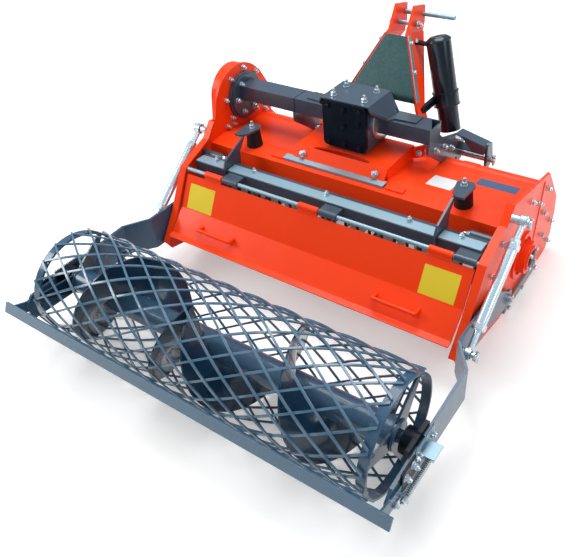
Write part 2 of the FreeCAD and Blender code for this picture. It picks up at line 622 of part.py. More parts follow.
def pto_guard():
    """Open cone round the stub shaft."""
    start = V(GEAR_X, GEAR_FRONT, DRIVE_Z)
    forward = V(0, 1, 0)
    outer = Part.makeCone(GUARD_REAR_R, GUARD_R, GUARD_LENGTH, start, forward)
    inner = Part.makeCone(GUARD_REAR_R - GUARD_T, GUARD_R - GUARD_T, GUARD_LENGTH, start, forward)
    return outer.cut(inner)


def cradle():
    """Bridge over the hood under the gearbox: floor with a window, rear face and a wing at each end."""
    low = GEAR_LOW - CRADLE_T
    x0, x1 = GEAR_X - CRADLE_HALF, GEAR_X + CRADLE_HALF
    rear, front = CRADLE_REAR_Y, CRADLE_FRONT_Y
    floor = block(x0, x1, rear, front, low, GEAR_LOW)
    foot = over_hood(rear - CRADLE_LEAN, rear - CRADLE_LEAN + CRADLE_T, PAD_T)
    face = slab([(rear, GEAR_LOW)] + foot + [(rear + CRADLE_T, low)], x0, x1)
    wing = slab(over_hood(rear, front) + [(front, GEAR_LOW), (rear, GEAR_LOW)], x1 - CRADLE_T, x1)
    inner = x1 - CRADLE_T
    flange = slab_z([(inner, front - 8), (x1 + 14, front - 18), (x1 + 39, front + 16), (x1 + 33, front + 24),
                     (x1 + 10, front - 8), (inner, front)], low - CRADLE_FLANGE, GEAR_LOW)
    half = CRADLE_WINDOW
    deep = CRADLE_WINDOW_DEEP
    arch = [(half * math.cos(math.pi * i / 12), deep * math.sin(math.pi * i / 12)) for i in range(13)]
    window = slab_z([(GEAR_X + x, rear + 4 + y) for x, y in arch], low - 1, GEAR_LOW + 1)
    sides = [wing, flange, mirrored(wing, GEAR_X), mirrored(flange, GEAR_X)]
    return floor.fuse([face] + sides).cut(window).removeSplitter()


def cradle_pad_bar():
    """Flat bar on the hood under the cradle's rear face."""
    rear, front = PAD_REAR_Y, PAD_REAR_Y + PAD_D
    return slab(over_hood(rear, front) + over_hood(rear, front, PAD_T)[::-1],
                GEAR_X - CRADLE_HALF - PAD_OVER[0], GEAR_X + CRADLE_HALF + PAD_OVER[1])


# ---------------------------------------------------------------- hitch
def hitch_plate(x0):
    """Plate from under the drive tube down over the front tube to the lower link pin."""
    rear, front = TUBE_Y - TUBE_D / 2, TUBE_Y + TUBE_D / 2
    top = DRIVE_Z - TUBE_H / 2
    outline = [(rear - 4, top - 38), (rear - 4, top), (front, top), (front + 38, top - 26),
               (LINK_PIN_Y - 28, LINK_PIN_Z + 99), (LINK_PIN_Y + 24, LINK_PIN_Z + 92),
               (LINK_PIN_Y + CHEEK_R, LINK_PIN_Z), (LINK_PIN_Y, LINK_PIN_Z),
               (LINK_PIN_Y - CHEEK_R, LINK_PIN_Z), (FRONT_TUBE_Y + 20, FRONT_TUBE_Z),
               (FRONT_TUBE_Y - 40, hood_top_at(FRONT_TUBE_Y - 40))]
    shape = slab(outline, x0, x0 + PLATE).fuse(rod_x(x0, x0 + PLATE, LINK_PIN_Y, LINK_PIN_Z, CHEEK_R))
    bore = rod_x(x0 - 1, x0 + PLATE + 1, LINK_PIN_Y, LINK_PIN_Z, LINK_PIN_R)
    return shape.cut([front_tube(), hood(), bore])


def hitch_plates():
    return both_sides(biggest(hitch_plate(HITCH_X + HITCH_HALF)), HITCH_X)


def link_brackets():
    """Box channel out to the outer cheek of each lower link, open to the rear in a triangle."""
    x0 = HITCH_X + HITCH_HALF + PLATE
    x1 = x0 + LINK_GAP
    z = LINK_PIN_Z
    cheek = stadium(x1, x1 + PLATE, LINK_PIN_Y, z, CHEEK_R, LINK_PIN_Y - 8, z + 56, 24)
    rear, deep = LINK_PIN_Y - 44, 52.0
    roof = slab_y([(x0, z + 103), (x1, z + 76), (x1, z + 68), (x0, z + 95)], rear, rear + deep)
    floor = slab_y([(x0, z + 46), (x1, z + 44), (x1, z + 38), (x0, z + 40)], rear, rear + deep)
    web = slab_y([(x0 + 64, z + 43), (x1, z + 42), (x1, z + 72), (x0 + 20, z + 93)], rear, rear + 8)
    arm = cheek.fuse([roof, floor, web]).removeSplitter()
    arm = arm.cut(rod_x(x0, x1 + PLATE + 1, LINK_PIN_Y, z, LINK_PIN_R))
    return both_sides(arm, HITCH_X)


def link_pins():
    """Pins across both cheeks, with a head inside and a thinner free end outside."""
    x0 = HITCH_X + HITCH_HALF - 12
    x1 = HITCH_X + HITCH_HALF + 2 * PLATE + LINK_GAP
    pin = rod_x(x0, x1, LINK_PIN_Y, LINK_PIN_Z, LINK_PIN_R)
    end = rod_x(x1, x1 + LINK_PIN_OUT, LINK_PIN_Y, LINK_PIN_Z, LINK_PIN_R - PIN_STEP)
    head = rod_x(x0 - 8, x0, LINK_PIN_Y, LINK_PIN_Z, LINK_PIN_R + 6)
    return both_sides(pin.fuse([end, head]), HITCH_X)


def ear_x():
    return HITCH_X + EAR_GAP / 2


def ears():
    """The two cheeks that hold the top link pin."""
    x0 = ear_x()
    y, z = TOP_PIN_Y, TOP_PIN_Z
    ear = slab([(y - 125, z - 42), (y, z - 72), (y + EAR_FRONT, z - 37), (y + EAR_FRONT, z + 30),
                (y - 67, z + 48)], x0, x0 + EAR_T)
    bolt = rod_x(x0 - 1, x0 + EAR_T + 1, y - SPACER_BACK, z - SPACER_DOWN, SPACER_R)
    ear = ear.cut([rod_x(x0 - 1, x0 + EAR_T + 1, y, z, TOP_PIN_R), bolt])
    return both_sides(ear, HITCH_X)


def leg_place(down, forwards, off=0.0):
    """A point on the right leg: share down its rear edge, then forwards across it and off its face in mm."""
    start = V(ear_x() + EAR_T / 2, LEG_START_Y, LEG_START_Z)
    normal = V(*LEG_RUN).cross(V(*LEG_ACROSS)).normalize()
    return start + V(*LEG_RUN) * down + V(*LEG_ACROSS) * forwards + normal * off


def a_frame_legs():
    """Tapered legs from the ears down to the front tube."""
    outline = [(0, 0), (0, 140), (1.0, 64), (LEG_RUNS, 112), (LEG_RUNS - 0.08, 45), (1.0, 0)]
    corners = [leg_place(down, forwards, -EAR_T / 2) for down, forwards in outline]
    through = leg_place(0, 0, EAR_T) - leg_place(0, 0)
    leg = Part.Face(Part.makePolygon(corners + corners[:1])).extrude(through)
    leg = biggest(leg.cut([front_tube(), hood(), ears()]))
    return both_sides(leg, HITCH_X)


def a_frame_guard():
    """Galvanised sheet across the rear edges of the legs, arched over the drive shaft."""
    corners = [leg_place(0.04, -0.2), leg_place(0.93, -0.2)]
    corners = corners + [V(2 * HITCH_X - p.x, p.y, p.z) for p in corners[::-1]]
    run = V(*LEG_RUN)
    rearwards = V(0, run.z, -run.y).normalize()
    sheet = Part.Face(Part.makePolygon(corners + corners[:1])).extrude(rearwards * GUARD_SHEET)
    arch = rod((GEAR_X, GEAR_FRONT, DRIVE_Z), (GEAR_X, LINK_PIN_Y, DRIVE_Z), PTO_R + 30)
    return biggest(sheet.cut([ears(), a_frame_legs(), arch]))


def top_link_pins():
    """The long top link pin, and the spacer bolt that ties the ears together below it."""
    near, far = HITCH_X - EAR_GAP / 2 - EAR_T, HITCH_X + EAR_GAP / 2 + EAR_T
    pin = rod_x(near - 34, far, TOP_PIN_Y, TOP_PIN_Z, TOP_PIN_R)
    pin = pin.fuse(rod_x(far, far + TOP_PIN_OUT, TOP_PIN_Y, TOP_PIN_Z, TOP_PIN_R - PIN_STEP))
    spacer = rod_x(near - 8, far + 8, TOP_PIN_Y - SPACER_BACK, TOP_PIN_Z - SPACER_DOWN, SPACER_R)
    return Part.makeCompound([pin, spacer])


def document_tube():
    """Plastic tube for papers beside the right leg, with a domed top and a collar, open at the bottom."""
    top, low = V(*DOC_TOP), V(*DOC_LOW)
    up = (top - low).normalize()
    length = (top - low).Length
    sleeve = Part.makeCylinder(DOC_LOW_R, length * 0.30, low, up)
    hollow = Part.makeCylinder(DOC_LOW_R - 5, length * 0.20, low - up, up)
    collar = Part.makeCylinder(DOC_COLLAR_R, length * 0.14, low + up * (length * 0.29), up)
    body = Part.makeCylinder(DOC_R, length * 0.60, low + up * (length * 0.40), up)
    dome = Part.makeCone(DOC_R, DOC_R - 16, 16, top, up)
    return sleeve.fuse([collar, body, dome]).cut(hollow).removeSplitter()


def document_tube_brackets():
    """Straps from the right leg out to the tube: a short one at the top and a long one at the collar."""
    _, y, z = DOC_TOP
    upper = block(ear_x(), DOC_TOP[0], y - 40, y - 12, z - 16, z - 8)
    foot = leg_place(1.04, 40)
    lower = block(foot.x - 6, foot.x + 10, foot.y - 10, DOC_LOW[1] + 10, foot.z - 14, foot.z + 14)
    others = [document_tube(), a_frame_legs()]
    return Part.makeCompound([biggest(strap.cut(others)) for strap in (upper, lower)])


# ---------------------------------------------------------------- roller frame
def arm_plate(side):
    """One arm: straight beside the housing, joggled outwards, then straight beside the roller."""
    y1, y2 = ARM_BEND_Y, ARM_BEND_Y - ARM_BEND_RUN
    inner = [(ARM_IN, ARM_PIVOT_Y + ARM_EYE_R + 10), (ARM_IN, y1), (ARM_OUT, y2), (ARM_OUT, ARM_END_Y)]
    outer = [(x + PLATE, y) for x, y in inner]
    wire = Part.makePolygon([V(x, y, 0) for x, y in inner + outer[::-1] + inner[:1]])
    bar = Part.Face(wire).extrude(V(0, 0, 400))
    low = ARM_TOP_Z - ARM_H
    side_view = slab([(ARM_PIVOT_Y, ARM_PIVOT_Z + ARM_EYE_R), (ARM_PIVOT_Y - 150, ARM_TOP_Z - 6),
                      (ARM_PIVOT_Y - 220, ARM_TOP_Z), (y1, ARM_TOP_Z), (ARM_END_Y + 30, ARM_TOP_Z - 28),
                      (ARM_END_Y, ARM_TOP_Z - 58), (ARM_END_Y, low + 18), (ARM_PIVOT_Y - 180, low - 8),
                      (ARM_PIVOT_Y, ARM_PIVOT_Z - ARM_EYE_R)], ARM_IN - 1, ARM_OUT + PLATE + 1)
    side_view = side_view.fuse(rod_x(ARM_IN - 1, ARM_OUT + PLATE + 1, ARM_PIVOT_Y, ARM_PIVOT_Z, ARM_EYE_R))
    arm = bar.common(side_view)
    arm = arm.cut([rod_x(ARM_IN - 1, ARM_OUT, ARM_PIVOT_Y, ARM_PIVOT_Z, ARM_PIVOT_R + BORE_AIR),
                   rod_x(ARM_IN, ARM_OUT + 50, ROLLER_Y, ROLLER_R, AXLE_R + 12)])
    arm = arm.removeSplitter()
    return arm if side > 0 else mirrored(arm)


def arm_pivots():
    pin = rod_x(PLATE_OUT, ARM_IN + PLATE + 18, ARM_PIVOT_Y, ARM_PIVOT_Z, ARM_PIVOT_R)
    boss = rod_x(PLATE_OUT, ARM_IN - GAP, ARM_PIVOT_Y, ARM_PIVOT_Z, ARM_PIVOT_R + 12)
    nut = rod_x(ARM_IN + PLATE + GAP, ARM_IN + PLATE + 14, ARM_PIVOT_Y, ARM_PIVOT_Z, ARM_PIVOT_R + 8)
    return both_sides(pin.fuse([boss, nut]).removeSplitter())


def roller_bearings():
    """Flanged bearing housings on the inner faces of the arms."""
    deep = ARM_OUT - ROLLER_HALF - 12
    body = rod_x(ARM_OUT - deep, ARM_OUT, ROLLER_Y, ROLLER_R, BEARING_R)
    flange = block(ARM_OUT - BEARING_FLANGE, ARM_OUT, ROLLER_Y - 60, ROLLER_Y + 60,
                   ROLLER_R - 40, ROLLER_R + 40)
    body = body.fuse(flange).removeSplitter()
    body = body.cut(rod_x(ARM_IN - 60, ARM_OUT + 1, ROLLER_Y, ROLLER_R, AXLE_R + BORE_AIR))
    return both_sides(body)


def scraper_bar():
    """Flat bar behind the roller, leaning back at the bottom."""
    lean = math.radians(SCRAPER_LEAN)
    y, z = SCRAPER_TOP_Y, SCRAPER_TOP_Z
    low_y, low_z = y - SCRAPER_W * math.sin(lean), z - SCRAPER_W * math.cos(lean)
    in_y, in_z = SCRAPER_T * math.cos(lean), -SCRAPER_T * math.sin(lean)
    return slab([(low_y, low_z), (y, z), (y + in_y, z + in_z), (low_y + in_y, low_z + in_z)],
                -SCRAPER_HALF, SCRAPER_HALF)


def scraper_brackets():
    """Plates on the arms that reach back to the scraper bar."""
    inner = ARM_OUT + PLATE
    y, z = SCRAPER_TOP_Y + SCRAPER_T, SCRAPER_TOP_Z
    front = ARM_END_Y + BRACKET_REACH
    bracket = slab([(y - 2, z - 4), (ARM_END_Y + 6, z - 20), (front, z - 34), (front, z - 74),
                    (ARM_END_Y + 10, z - 70), (y - 10, z - 34)], inner, inner + BRACKET_T)
    bracket = biggest(bracket.cut(scraper_bar()))
    return both_sides(bracket)


def scraper_springs():
    """Springs along the outer faces of the arms, each between two lugs."""
    face = ARM_OUT + PLATE
    x, z = face + SPRING_R + SPRING_AIR, SCRAPER_TOP_Z - SPRING_DROP
    rear = ARM_END_Y + SPRING_BACK
    front = rear + SPRING_L
    spring = rod((x, rear, z), (x, front, z), SPRING_R)
    low, high = z - LUG_H / 2, z + LUG_H / 2
    lugs = [block(face, face + LUG_W, y, y + LUG_T, low, high) for y in (rear - LUG_T, front)]
    return both_sides(spring.fuse(lugs).removeSplitter())


# ---------------------------------------------------------------- roller
def roller_shaft():
    half = ROLLER_HALF - 4
    return rod_x(-half, half, ROLLER_Y, ROLLER_R, ROLLER_TUBE_R).fuse(
        rod_x(-ARM_OUT - PLATE - 6, ARM_OUT + PLATE + 6, ROLLER_Y, ROLLER_R, AXLE_R)).removeSplitter()


def mesh_inner_r():
    return ROLLER_R - 2 * STRAND_T - GAP


def band_r():
    """The mesh lies over the outside of the end bands."""
    return mesh_inner_r() - GAP


def roller_bands():
    outer = band_r()
    return both_sides(tube_x(ROLLER_HALF - BAND_W, ROLLER_HALF, ROLLER_Y, ROLLER_R, outer, outer - BAND_T))


def roller_spokes():
    """Broad tapered spokes from the centre tube to each end band."""
    x = ROLLER_HALF - BAND_W / 2
    x0, x1 = x - SPOKE_T / 2, x + SPOKE_T / 2
    reach = band_r() - BAND_T
    outline = [(ROLLER_Y, SPOKE_ROOT), (ROLLER_Y + ROLLER_TUBE_R, SPOKE_ROOT),
               (ROLLER_Y + ROLLER_TUBE_R + SPOKE_KNEE_OUT, SPOKE_KNEE),
               (ROLLER_Y + reach + SPOKE_OVER, SPOKE_TIP)]
    upper = [(y, ROLLER_R + half) for y, half in outline]
    lower = [(y, ROLLER_R - half) for y, half in outline[::-1]]
    spoke = slab(upper + lower, x0, x1).common(rod_x(x0, x1, ROLLER_Y, ROLLER_R, reach))
    spoke = biggest(spoke.cut(rod_x(x0 - 1, x1 + 1, ROLLER_Y, ROLLER_R, ROLLER_TUBE_R)))
    angles = [SPOKE_TURN + 360.0 / SPOKES * k for k in range(SPOKES)]
    return both_sides(Part.makeCompound([round_roller(spoke, angle) for angle in angles]))


def round_roller(shape, angle):
    return turned(shape, 0, ROLLER_Y, ROLLER_R, (1, 0, 0), angle)


def wound(profile, pitch, length, radius, hand):
    """An outline on (x, y, z) points swept along a helix that starts on +X and climbs along Z."""
    path = Part.makeHelix(pitch, length, radius, 0, hand < 0)
    wire = Part.makePolygon([V(*point) for point in profile + profile[:1]])
    return Part.Wire(path).makePipeShell([wire], True, True)


def laid(shape, start_x):
    """A shape wound about Z, laid on the roller's axis from start_x and starting straight ahead."""
    shape = shape.copy()
    shape.rotate(V(0, 0, 0), V(0, 1, 0), 90)
    shape.translate(V(start_x, ROLLER_Y, ROLLER_R))
    return round_roller(shape, 90)


def strands(outer, hand):
    """Flat strands wound between the two ends of the roller, in welded lengths."""
    half, middle = STRAND_W / 2, outer - STRAND_T / 2
    pitch = STRANDS * DIAMOND_L
    whole = 2 * (ROLLER_HALF - STRAND_SHORT)
    step = whole / STRAND_LENGTHS
    profile = [(outer - STRAND_T, -half, 0), (outer, -half, 0), (outer, half, 0), (outer - STRAND_T, half, 0)]
    strand = wound(profile, pitch, step - GAP, middle, hand)
    pieces = []
    for n in range(STRAND_LENGTHS):
        piece = laid(strand, n * step - whole / 2)
        lead = STRAND_TURN + hand * 360.0 * n * step / pitch
        pieces += [round_roller(piece, lead + 360.0 / STRANDS * k) for k in range(STRANDS)]
    return Part.makeCompound(pieces)


def flight(reach):
    """One flight from where both meet out to its end, wound to the right, in welded lengths."""
    outer, inner = mesh_inner_r() - AUGER_CLEAR, ROLLER_TUBE_R + GAP
    step = (reach - AUGER_T) / AUGER_LENGTHS
    profile = [(inner, 0, 0), (outer, 0, 0), (outer, 0, AUGER_T), (inner, 0, AUGER_T)]
    piece = wound(profile, AUGER_PITCH, step, inner, 1)
    lead = 360.0 * step / AUGER_PITCH + 0.2
    lengths = [round_roller(laid(piece, AUGER_MIDDLE + GAP + n * step), AUGER_TURN + lead * n)
               for n in range(AUGER_LENGTHS)]
    return Part.makeCompound(lengths)


def auger_flights():
    """Two flights that meet off the middle of the roller and run outwards with opposite hands."""
    end = ROLLER_HALF - BAND_W - AUGER_END_GAP
    right = flight(end - AUGER_MIDDLE)
    left = mirrored(flight(end + AUGER_MIDDLE), AUGER_MIDDLE)
    return Part.makeCompound([right, left])


# ---------------------------------------------------------------- turnbuckles
def tb_vector():
    run = math.hypot(TB_LOW_Y - TB_TOP_Y, TB_LOW_Z - TB_TOP_Z)
    return (TB_LOW_Y - TB_TOP_Y) / run, (TB_LOW_Z - TB_TOP_Z) / run, run


def tb_point(distance):
    dy, dz, _ = tb_vector()
    return TB_X, TB_TOP_Y + dy * distance, TB_TOP_Z + dz * distance


def turnbuckle_sleeve():
    """Sleeve with its upper screw and eye."""
    run = tb_vector()[2]
    eye = tube_x(TB_X - TB_EYE_T / 2, TB_X + TB_EYE_T / 2, TB_TOP_Y, TB_TOP_Z, TB_EYE_R, TB_PIN_R + EYE_AIR)
    screw = rod(tb_point(TB_EYE_R - 3), tb_point(TB_END + 10), TB_ROD_R)
    sleeve = rod(tb_point(TB_END), tb_point(run - TB_END), TB_SLEEVE_R)
    sleeve = sleeve.cut(rod(tb_point(TB_END + 20), tb_point(run - TB_END + 1), TB_ROD_R + BORE_AIR))
    return sleeve.fuse([screw, eye]).removeSplitter()


def turnbuckle_rod():
    run = tb_vector()[2]
    eye = tube_x(TB_X - TB_EYE_T / 2, TB_X + TB_EYE_T / 2, TB_LOW_Y, TB_LOW_Z, TB_EYE_R, TB_PIN_R + 6)
    screw = rod(tb_point(run - TB_END - 70), tb_point(run - TB_EYE_R + 3), TB_ROD_R)
    return screw.fuse(eye).removeSplitter()


def turnbuckle_top_pins():
    pin = rod_x(PLATE_OUT, TB_X + TB_EYE_T / 2 + 16, TB_TOP_Y, TB_TOP_Z, TB_PIN_R)
    collar = rod_x(PLATE_OUT, TB_X - TB_EYE_T / 2 - 4, TB_TOP_Y, TB_TOP_Z, TB_PIN_R + 6)
    return both_sides(pin.fuse(collar).removeSplitter())


def turnbuckle_low_pins():
    face = ARM_IN + PLATE
    pin = rod_x(face, TB_X + TB_EYE_T / 2 + 18, TB_LOW_Y, TB_LOW_Z, TB_PIN_R)
    collar = rod_x(face, TB_X - TB_EYE_T / 2 - 4, TB_LOW_Y, TB_LOW_Z, TB_PIN_R + 6)
    return both_sides(pin.fuse(collar).removeSplitter())


NODES = {
    "side_plate_left": side_plate_left,
    "side_plate_right": side_plate_right,
    "hood": hood,
    "front_tube": front_tube,
    "front_apron": front_apron,
    "side_skids": skids,
    "rotor_bearing_hubs": rotor_bearing_hubs,
    "chain_case": chain_case,
    "gearbox": gearbox,
    "gearbox_cover": gearbox_cover,
    "gearbox_top_plate": gearbox_top_plate,
    "gearbox_cradle": cradle,
    "cradle_pad_bar": cradle_pad_bar,
    "drive_tube_left": drive_tube_left,
    "drive_tube_right": drive_tube_right,
    "pto_guard": pto_guard,
    "pto_shaft": pto_shaft,
    "hitch_plates": hitch_plates,
    "lower_link_brackets": link_brackets,
    "lower_link_pins": link_pins,
    "top_link_ears": ears,
    "a_frame_legs": a_frame_legs,
    "a_frame_guard": a_frame_guard,
    "top_link_pins": top_link_pins,
    "document_tube": document_tube,
    "document_tube_brackets": document_tube_brackets,
    "comb_beam": comb_beam,
    "comb_strip": comb_strip,
    "comb_tines": comb_tines,
    "comb_pivot_tubes": pivot_tubes,
    "bumper_arms": bumper_arms,
    "rubber_bumpers": rubber_bumpers,
    "hinge_rod": hinge_rod,
    "hinge_holders": hinge_holders,
    "rear_door": door_panel,
    "door_barrels": door_barrels,
    "door_handles": door_handles,
    "rotor_drum": rotor_shaft,
    "rotor_discs": rotor_discs,
    "rotor_teeth": rotor_teeth,
    "roller_arm_left": lambda: arm_plate(-1),
    "roller_arm_right": lambda: arm_plate(1),
    "arm_pivot_pins": arm_pivots,
    "roller_bearings": roller_bearings,
    "scraper_bar": scraper_bar,
    "scraper_brackets": scraper_brackets,
    "scraper_springs": scraper_springs,
    "roller_shaft": roller_shaft,
    "roller_bands": roller_bands,
    "roller_spokes": roller_spokes,
    "roller_mesh_outer": lambda: strands(ROLLER_R, 1),
    "roller_mesh_inner": lambda: strands(ROLLER_R - STRAND_T - GAP, -1),
    "auger_flights": auger_flights,
    "turnbuckle_sleeve_left": lambda: mirrored(turnbuckle_sleeve()),
    "turnbuckle_sleeve_right": turnbuckle_sleeve,
    "turnbuckle_rod_left": lambda: mirrored(turnbuckle_rod()),
    "turnbuckle_rod_right": turnbuckle_rod,
    "turnbuckle_top_pins": turnbuckle_top_pins,
    "turnbuckle_low_pins": turnbuckle_low_pins,
}

os.makedirs("parts", exist_ok=True)
for node, make in NODES.items():
    save(node, make())
print("y shift", Y_SHIFT, "nodes", len(NODES))
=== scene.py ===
# %% [markdown]
# A stone crusher hangs on the three-point hitch of a tractor.  A toothed rotor under the orange hood breaks stones
# and buries them, and a mesh roller behind presses the soil flat.  The CAD model already holds every plate, tube and
# shaft at its real size, so this notebook only adds what a maker adds last: finishes, bolts, springs, stickers and
# light.  The first cell loads that model and its record.
# %% Load the machine
import bmesh
import bpy
import json
from math import cos, pi, radians, sin, sqrt, tau
from mathutils import Matrix, Vector


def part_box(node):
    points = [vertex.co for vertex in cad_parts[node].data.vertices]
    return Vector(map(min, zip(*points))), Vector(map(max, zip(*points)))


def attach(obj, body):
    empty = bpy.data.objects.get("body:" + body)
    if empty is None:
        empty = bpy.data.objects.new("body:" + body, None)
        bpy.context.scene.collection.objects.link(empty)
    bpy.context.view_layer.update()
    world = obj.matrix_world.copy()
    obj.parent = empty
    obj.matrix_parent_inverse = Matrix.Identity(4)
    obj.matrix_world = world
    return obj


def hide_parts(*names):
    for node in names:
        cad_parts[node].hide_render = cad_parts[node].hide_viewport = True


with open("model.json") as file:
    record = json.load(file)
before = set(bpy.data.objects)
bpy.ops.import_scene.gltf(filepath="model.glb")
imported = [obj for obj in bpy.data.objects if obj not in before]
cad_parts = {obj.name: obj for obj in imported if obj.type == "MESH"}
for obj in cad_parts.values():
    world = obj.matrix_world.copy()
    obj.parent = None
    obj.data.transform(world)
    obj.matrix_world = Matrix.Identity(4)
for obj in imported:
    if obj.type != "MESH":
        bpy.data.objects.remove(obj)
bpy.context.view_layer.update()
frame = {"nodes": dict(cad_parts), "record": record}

MM = 0.001
NODES = frame["nodes"]

# %% [markdown]
# The machine is drawn on its own lines: millimetres to the right of its middle, forwards of the rotor's axis and
# above the floor.  One small function turns such a place into the model's metres, and a second finds where a
# straight line meets the face of a part, so that a bolt or a sticker always sits on real metal.
# %% Places on the machine
def middle_of(node):
    low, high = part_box(node)
    return (low + high) / 2


ROTOR_Y = middle_of("rotor_discs").y


def at(right, forwards, up):
    return Vector((right * MM, ROTOR_Y + forwards * MM, up * MM))


def meet(node, start, toward):
    """Where a line from start first meets a part, and which way the face looks there."""
    found, place, normal, _ = NODES[node].ray_cast(start, Vector(toward))
    if not found:
        raise ValueError(f"no face of {node} lies that way from {start}")
    return place, normal


print("rotor axis at y =", round(ROTOR_Y, 4))

# %% [markdown]
# The machine is seen from behind and to its right, from about head height.  A camera could be aimed with a
# Track To constraint, but three plain turns are easier to read: swing round the machine, tip down, roll slightly.
# %% Camera
SWING, TIP, ROLL = radians(37.7), radians(38.95), radians(-4.85)
CAMERA_PLACE = (1.1825, -1.5782, 1.7009)
camera_data = bpy.data.cameras.new("camera")
camera_data.sensor_width = 36.0
camera_data.lens = 41.7
camera_data.shift_x = -0.0447
camera_data.shift_y = -0.0125
camera = bpy.data.objects.new("camera", camera_data)
bpy.context.scene.collection.objects.link(camera)
turn = Matrix.Rotation(SWING, 4, "Z") @ Matrix.Rotation(pi / 2 - TIP, 4, "X") @ Matrix.Rotation(ROLL, 4, "Z")
camera.matrix_world = Matrix.Translation(CAMERA_PLACE) @ turn
bpy.context.scene.camera = camera
bpy.context.scene.view_settings.view_transform = "Standard"

# %% [markdown]
# Every finish below is a small tree of shader nodes, and a few helpers keep the trees short.  The main ones add a
# node with its settings and inputs, and start a node group, which is a tree that can be placed in several materials
# with its own values each time, as a paint recipe is used on several parts.
# %% Shader helpers
def add(tree, kind, inputs=None, **settings):
    """A shader node.  Each input is given a value, or is linked when it is given another node's socket."""
    node = tree.nodes.new("ShaderNode" + kind)
    for key, value in settings.items():
        setattr(node, key, value)
    for key, value in (inputs or {}).items():
        if isinstance(value, bpy.types.NodeSocket):
            tree.links.new(value, node.inputs[key])
        else:
            node.inputs[key].default_value = value
    return node


def start_group(name, inputs, outputs):
    group = bpy.data.node_groups.new(name, "ShaderNodeTree")
    for label, kind in inputs.items():
        group.interface.new_socket(name=label, in_out="INPUT", socket_type="NodeSocket" + kind)
    for label, kind in outputs.items():
        group.interface.new_socket(name=label, in_out="OUTPUT", socket_type="NodeSocket" + kind)
    return group, group.nodes.new("NodeGroupInput").outputs, group.nodes.new("NodeGroupOutput").inputs


def place_group(tree, group, **inputs):
    """Puts a group in a material.  An input named edge_radius is the socket Edge Radius."""
    node = tree.nodes.new("ShaderNodeGroup")
    node.node_tree = group
    for key, value in inputs.items():
        socket = node.inputs[key.replace("_", " ").title()]
        if isinstance(value, bpy.types.NodeSocket):
            tree.links.new(value, socket)
        else:
            socket.default_value = value
    return node.outputs


def maths(tree, operation, first, second=0.0):
    return add(tree, "Math", {0: first, 1: second}, operation=operation).outputs[0]


def blend(tree, share, first, second):
    return add(tree, "Mix", {0: share, 6: first, 7: second}, data_type="RGBA").outputs[2]


def rescale(tree, value, low, high, to_low=0.0, to_high=1.0):
    """Maps the stretch from low to high onto the stretch from to_low to to_high, and clamps what lies outside."""
    return add(tree, "MapRange", {0: value, 1: low, 2: high, 3: to_low, 4: to_high}).outputs[0]


print("shader helpers ready")

# %% [markdown]
# No paint is the same all over.  It is a shade lighter and duller in broad soft patches, and up close its skin has
# the fine dimples that painters call orange peel.  Noise textures in object space give both: large noise for the
# patches and fine noise for the dimples, whose height goes to a Bump node in each material.
# %% Group: uneven film
ROUGHNESS_SWING = 0.16


def uneven_film():
    group, given, result = start_group(
        "uneven_film", {"Colour": "Color", "Patch": "Float", "Depth": "Float", "Shine": "Float", "Peel": "Float"},
        {"Colour": "Color", "Roughness": "Float", "Height": "Float"})
    where = add(group, "TexCoord").outputs["Object"]
    patches = add(group, "TexNoise", {"Vector": where, "Scale": given["Patch"], "Detail": 4.0}).outputs[0]
    streaks = add(group, "Mapping", {"Vector": where, "Scale": (14.0, 14.0, 3.0)}).outputs[0]
    streaks = add(group, "TexNoise", {"Vector": streaks, "Scale": 1.0, "Detail": 3.0}).outputs[0]
    both = maths(group, "SUBTRACT", maths(group, "ADD", patches, streaks), 1.0)
    shade = maths(group, "ADD", maths(group, "MULTIPLY", both, given["Depth"]), 1.0)
    toned = add(group, "VectorMath", {0: given["Colour"], "Scale": shade}, operation="SCALE").outputs[0]
    rough = maths(group, "ADD", given["Shine"], maths(group, "MULTIPLY", both, ROUGHNESS_SWING))
    peel = add(group, "TexNoise", {"Vector": where, "Scale": 900.0, "Detail": 1.0}).outputs[0]
    group.links.new(toned, result["Colour"])
    group.links.new(rough, result["Roughness"])
    group.links.new(maths(group, "MULTIPLY", peel, given["Peel"]), result["Height"])
    return group


UNEVEN_FILM = uneven_film()
print("group", UNEVEN_FILM.name)

# %% [markdown]
# Paint wears first where two faces meet, because every chain, boot and stone rubs there.  A Bevel node looks up the
# normal that a rounded edge would have, and where that differs from the true normal there is an edge.  Noise breaks
# the line up, so that it reads as knocks.  The finishes lay a lighter tone of their own colour on this mask, so each
# edge is partly worn and partly a painted highlight.  The rounded normal itself also leaves the group, because it
# gives each sharp plate the thin highlight of a real edge.
# %% Group: worn edges with painted highlight
EDGE_GAIN = 5.0


def edge_wear_and_highlight():
    group, given, result = start_group("edge_wear_and_highlight", {"Edge Radius": "Float", "Wear": "Float"},
                                       {"Mask": "Float", "Rounded": "Vector"})
    rounded = add(group, "Bevel", {"Radius": given["Edge Radius"]}, samples=4).outputs[0]
    true = add(group, "NewGeometry").outputs["Normal"]
    match = add(group, "VectorMath", {0: rounded, 1: true}, operation="DOT_PRODUCT").outputs["Value"]
    edge = maths(group, "MULTIPLY", maths(group, "SUBTRACT", 1.0, match), EDGE_GAIN)
    where = add(group, "TexCoord").outputs["Object"]
    knocks = add(group, "TexNoise", {"Vector": where, "Scale": 38.0, "Detail": 6.0}).outputs[0]
    knocks = rescale(group, knocks, 0.42, 0.62)
    mask = maths(group, "MULTIPLY", maths(group, "MULTIPLY", edge, knocks), given["Wear"])
    group.links.new(maths(group, "MINIMUM", mask, 1.0), result["Mask"])
    group.links.new(rounded, result["Rounded"])
    return group


EDGE_WEAR_AND_HIGHLIGHT = edge_wear_and_highlight()
print("group", EDGE_WEAR_AND_HIGHLIGHT.name)

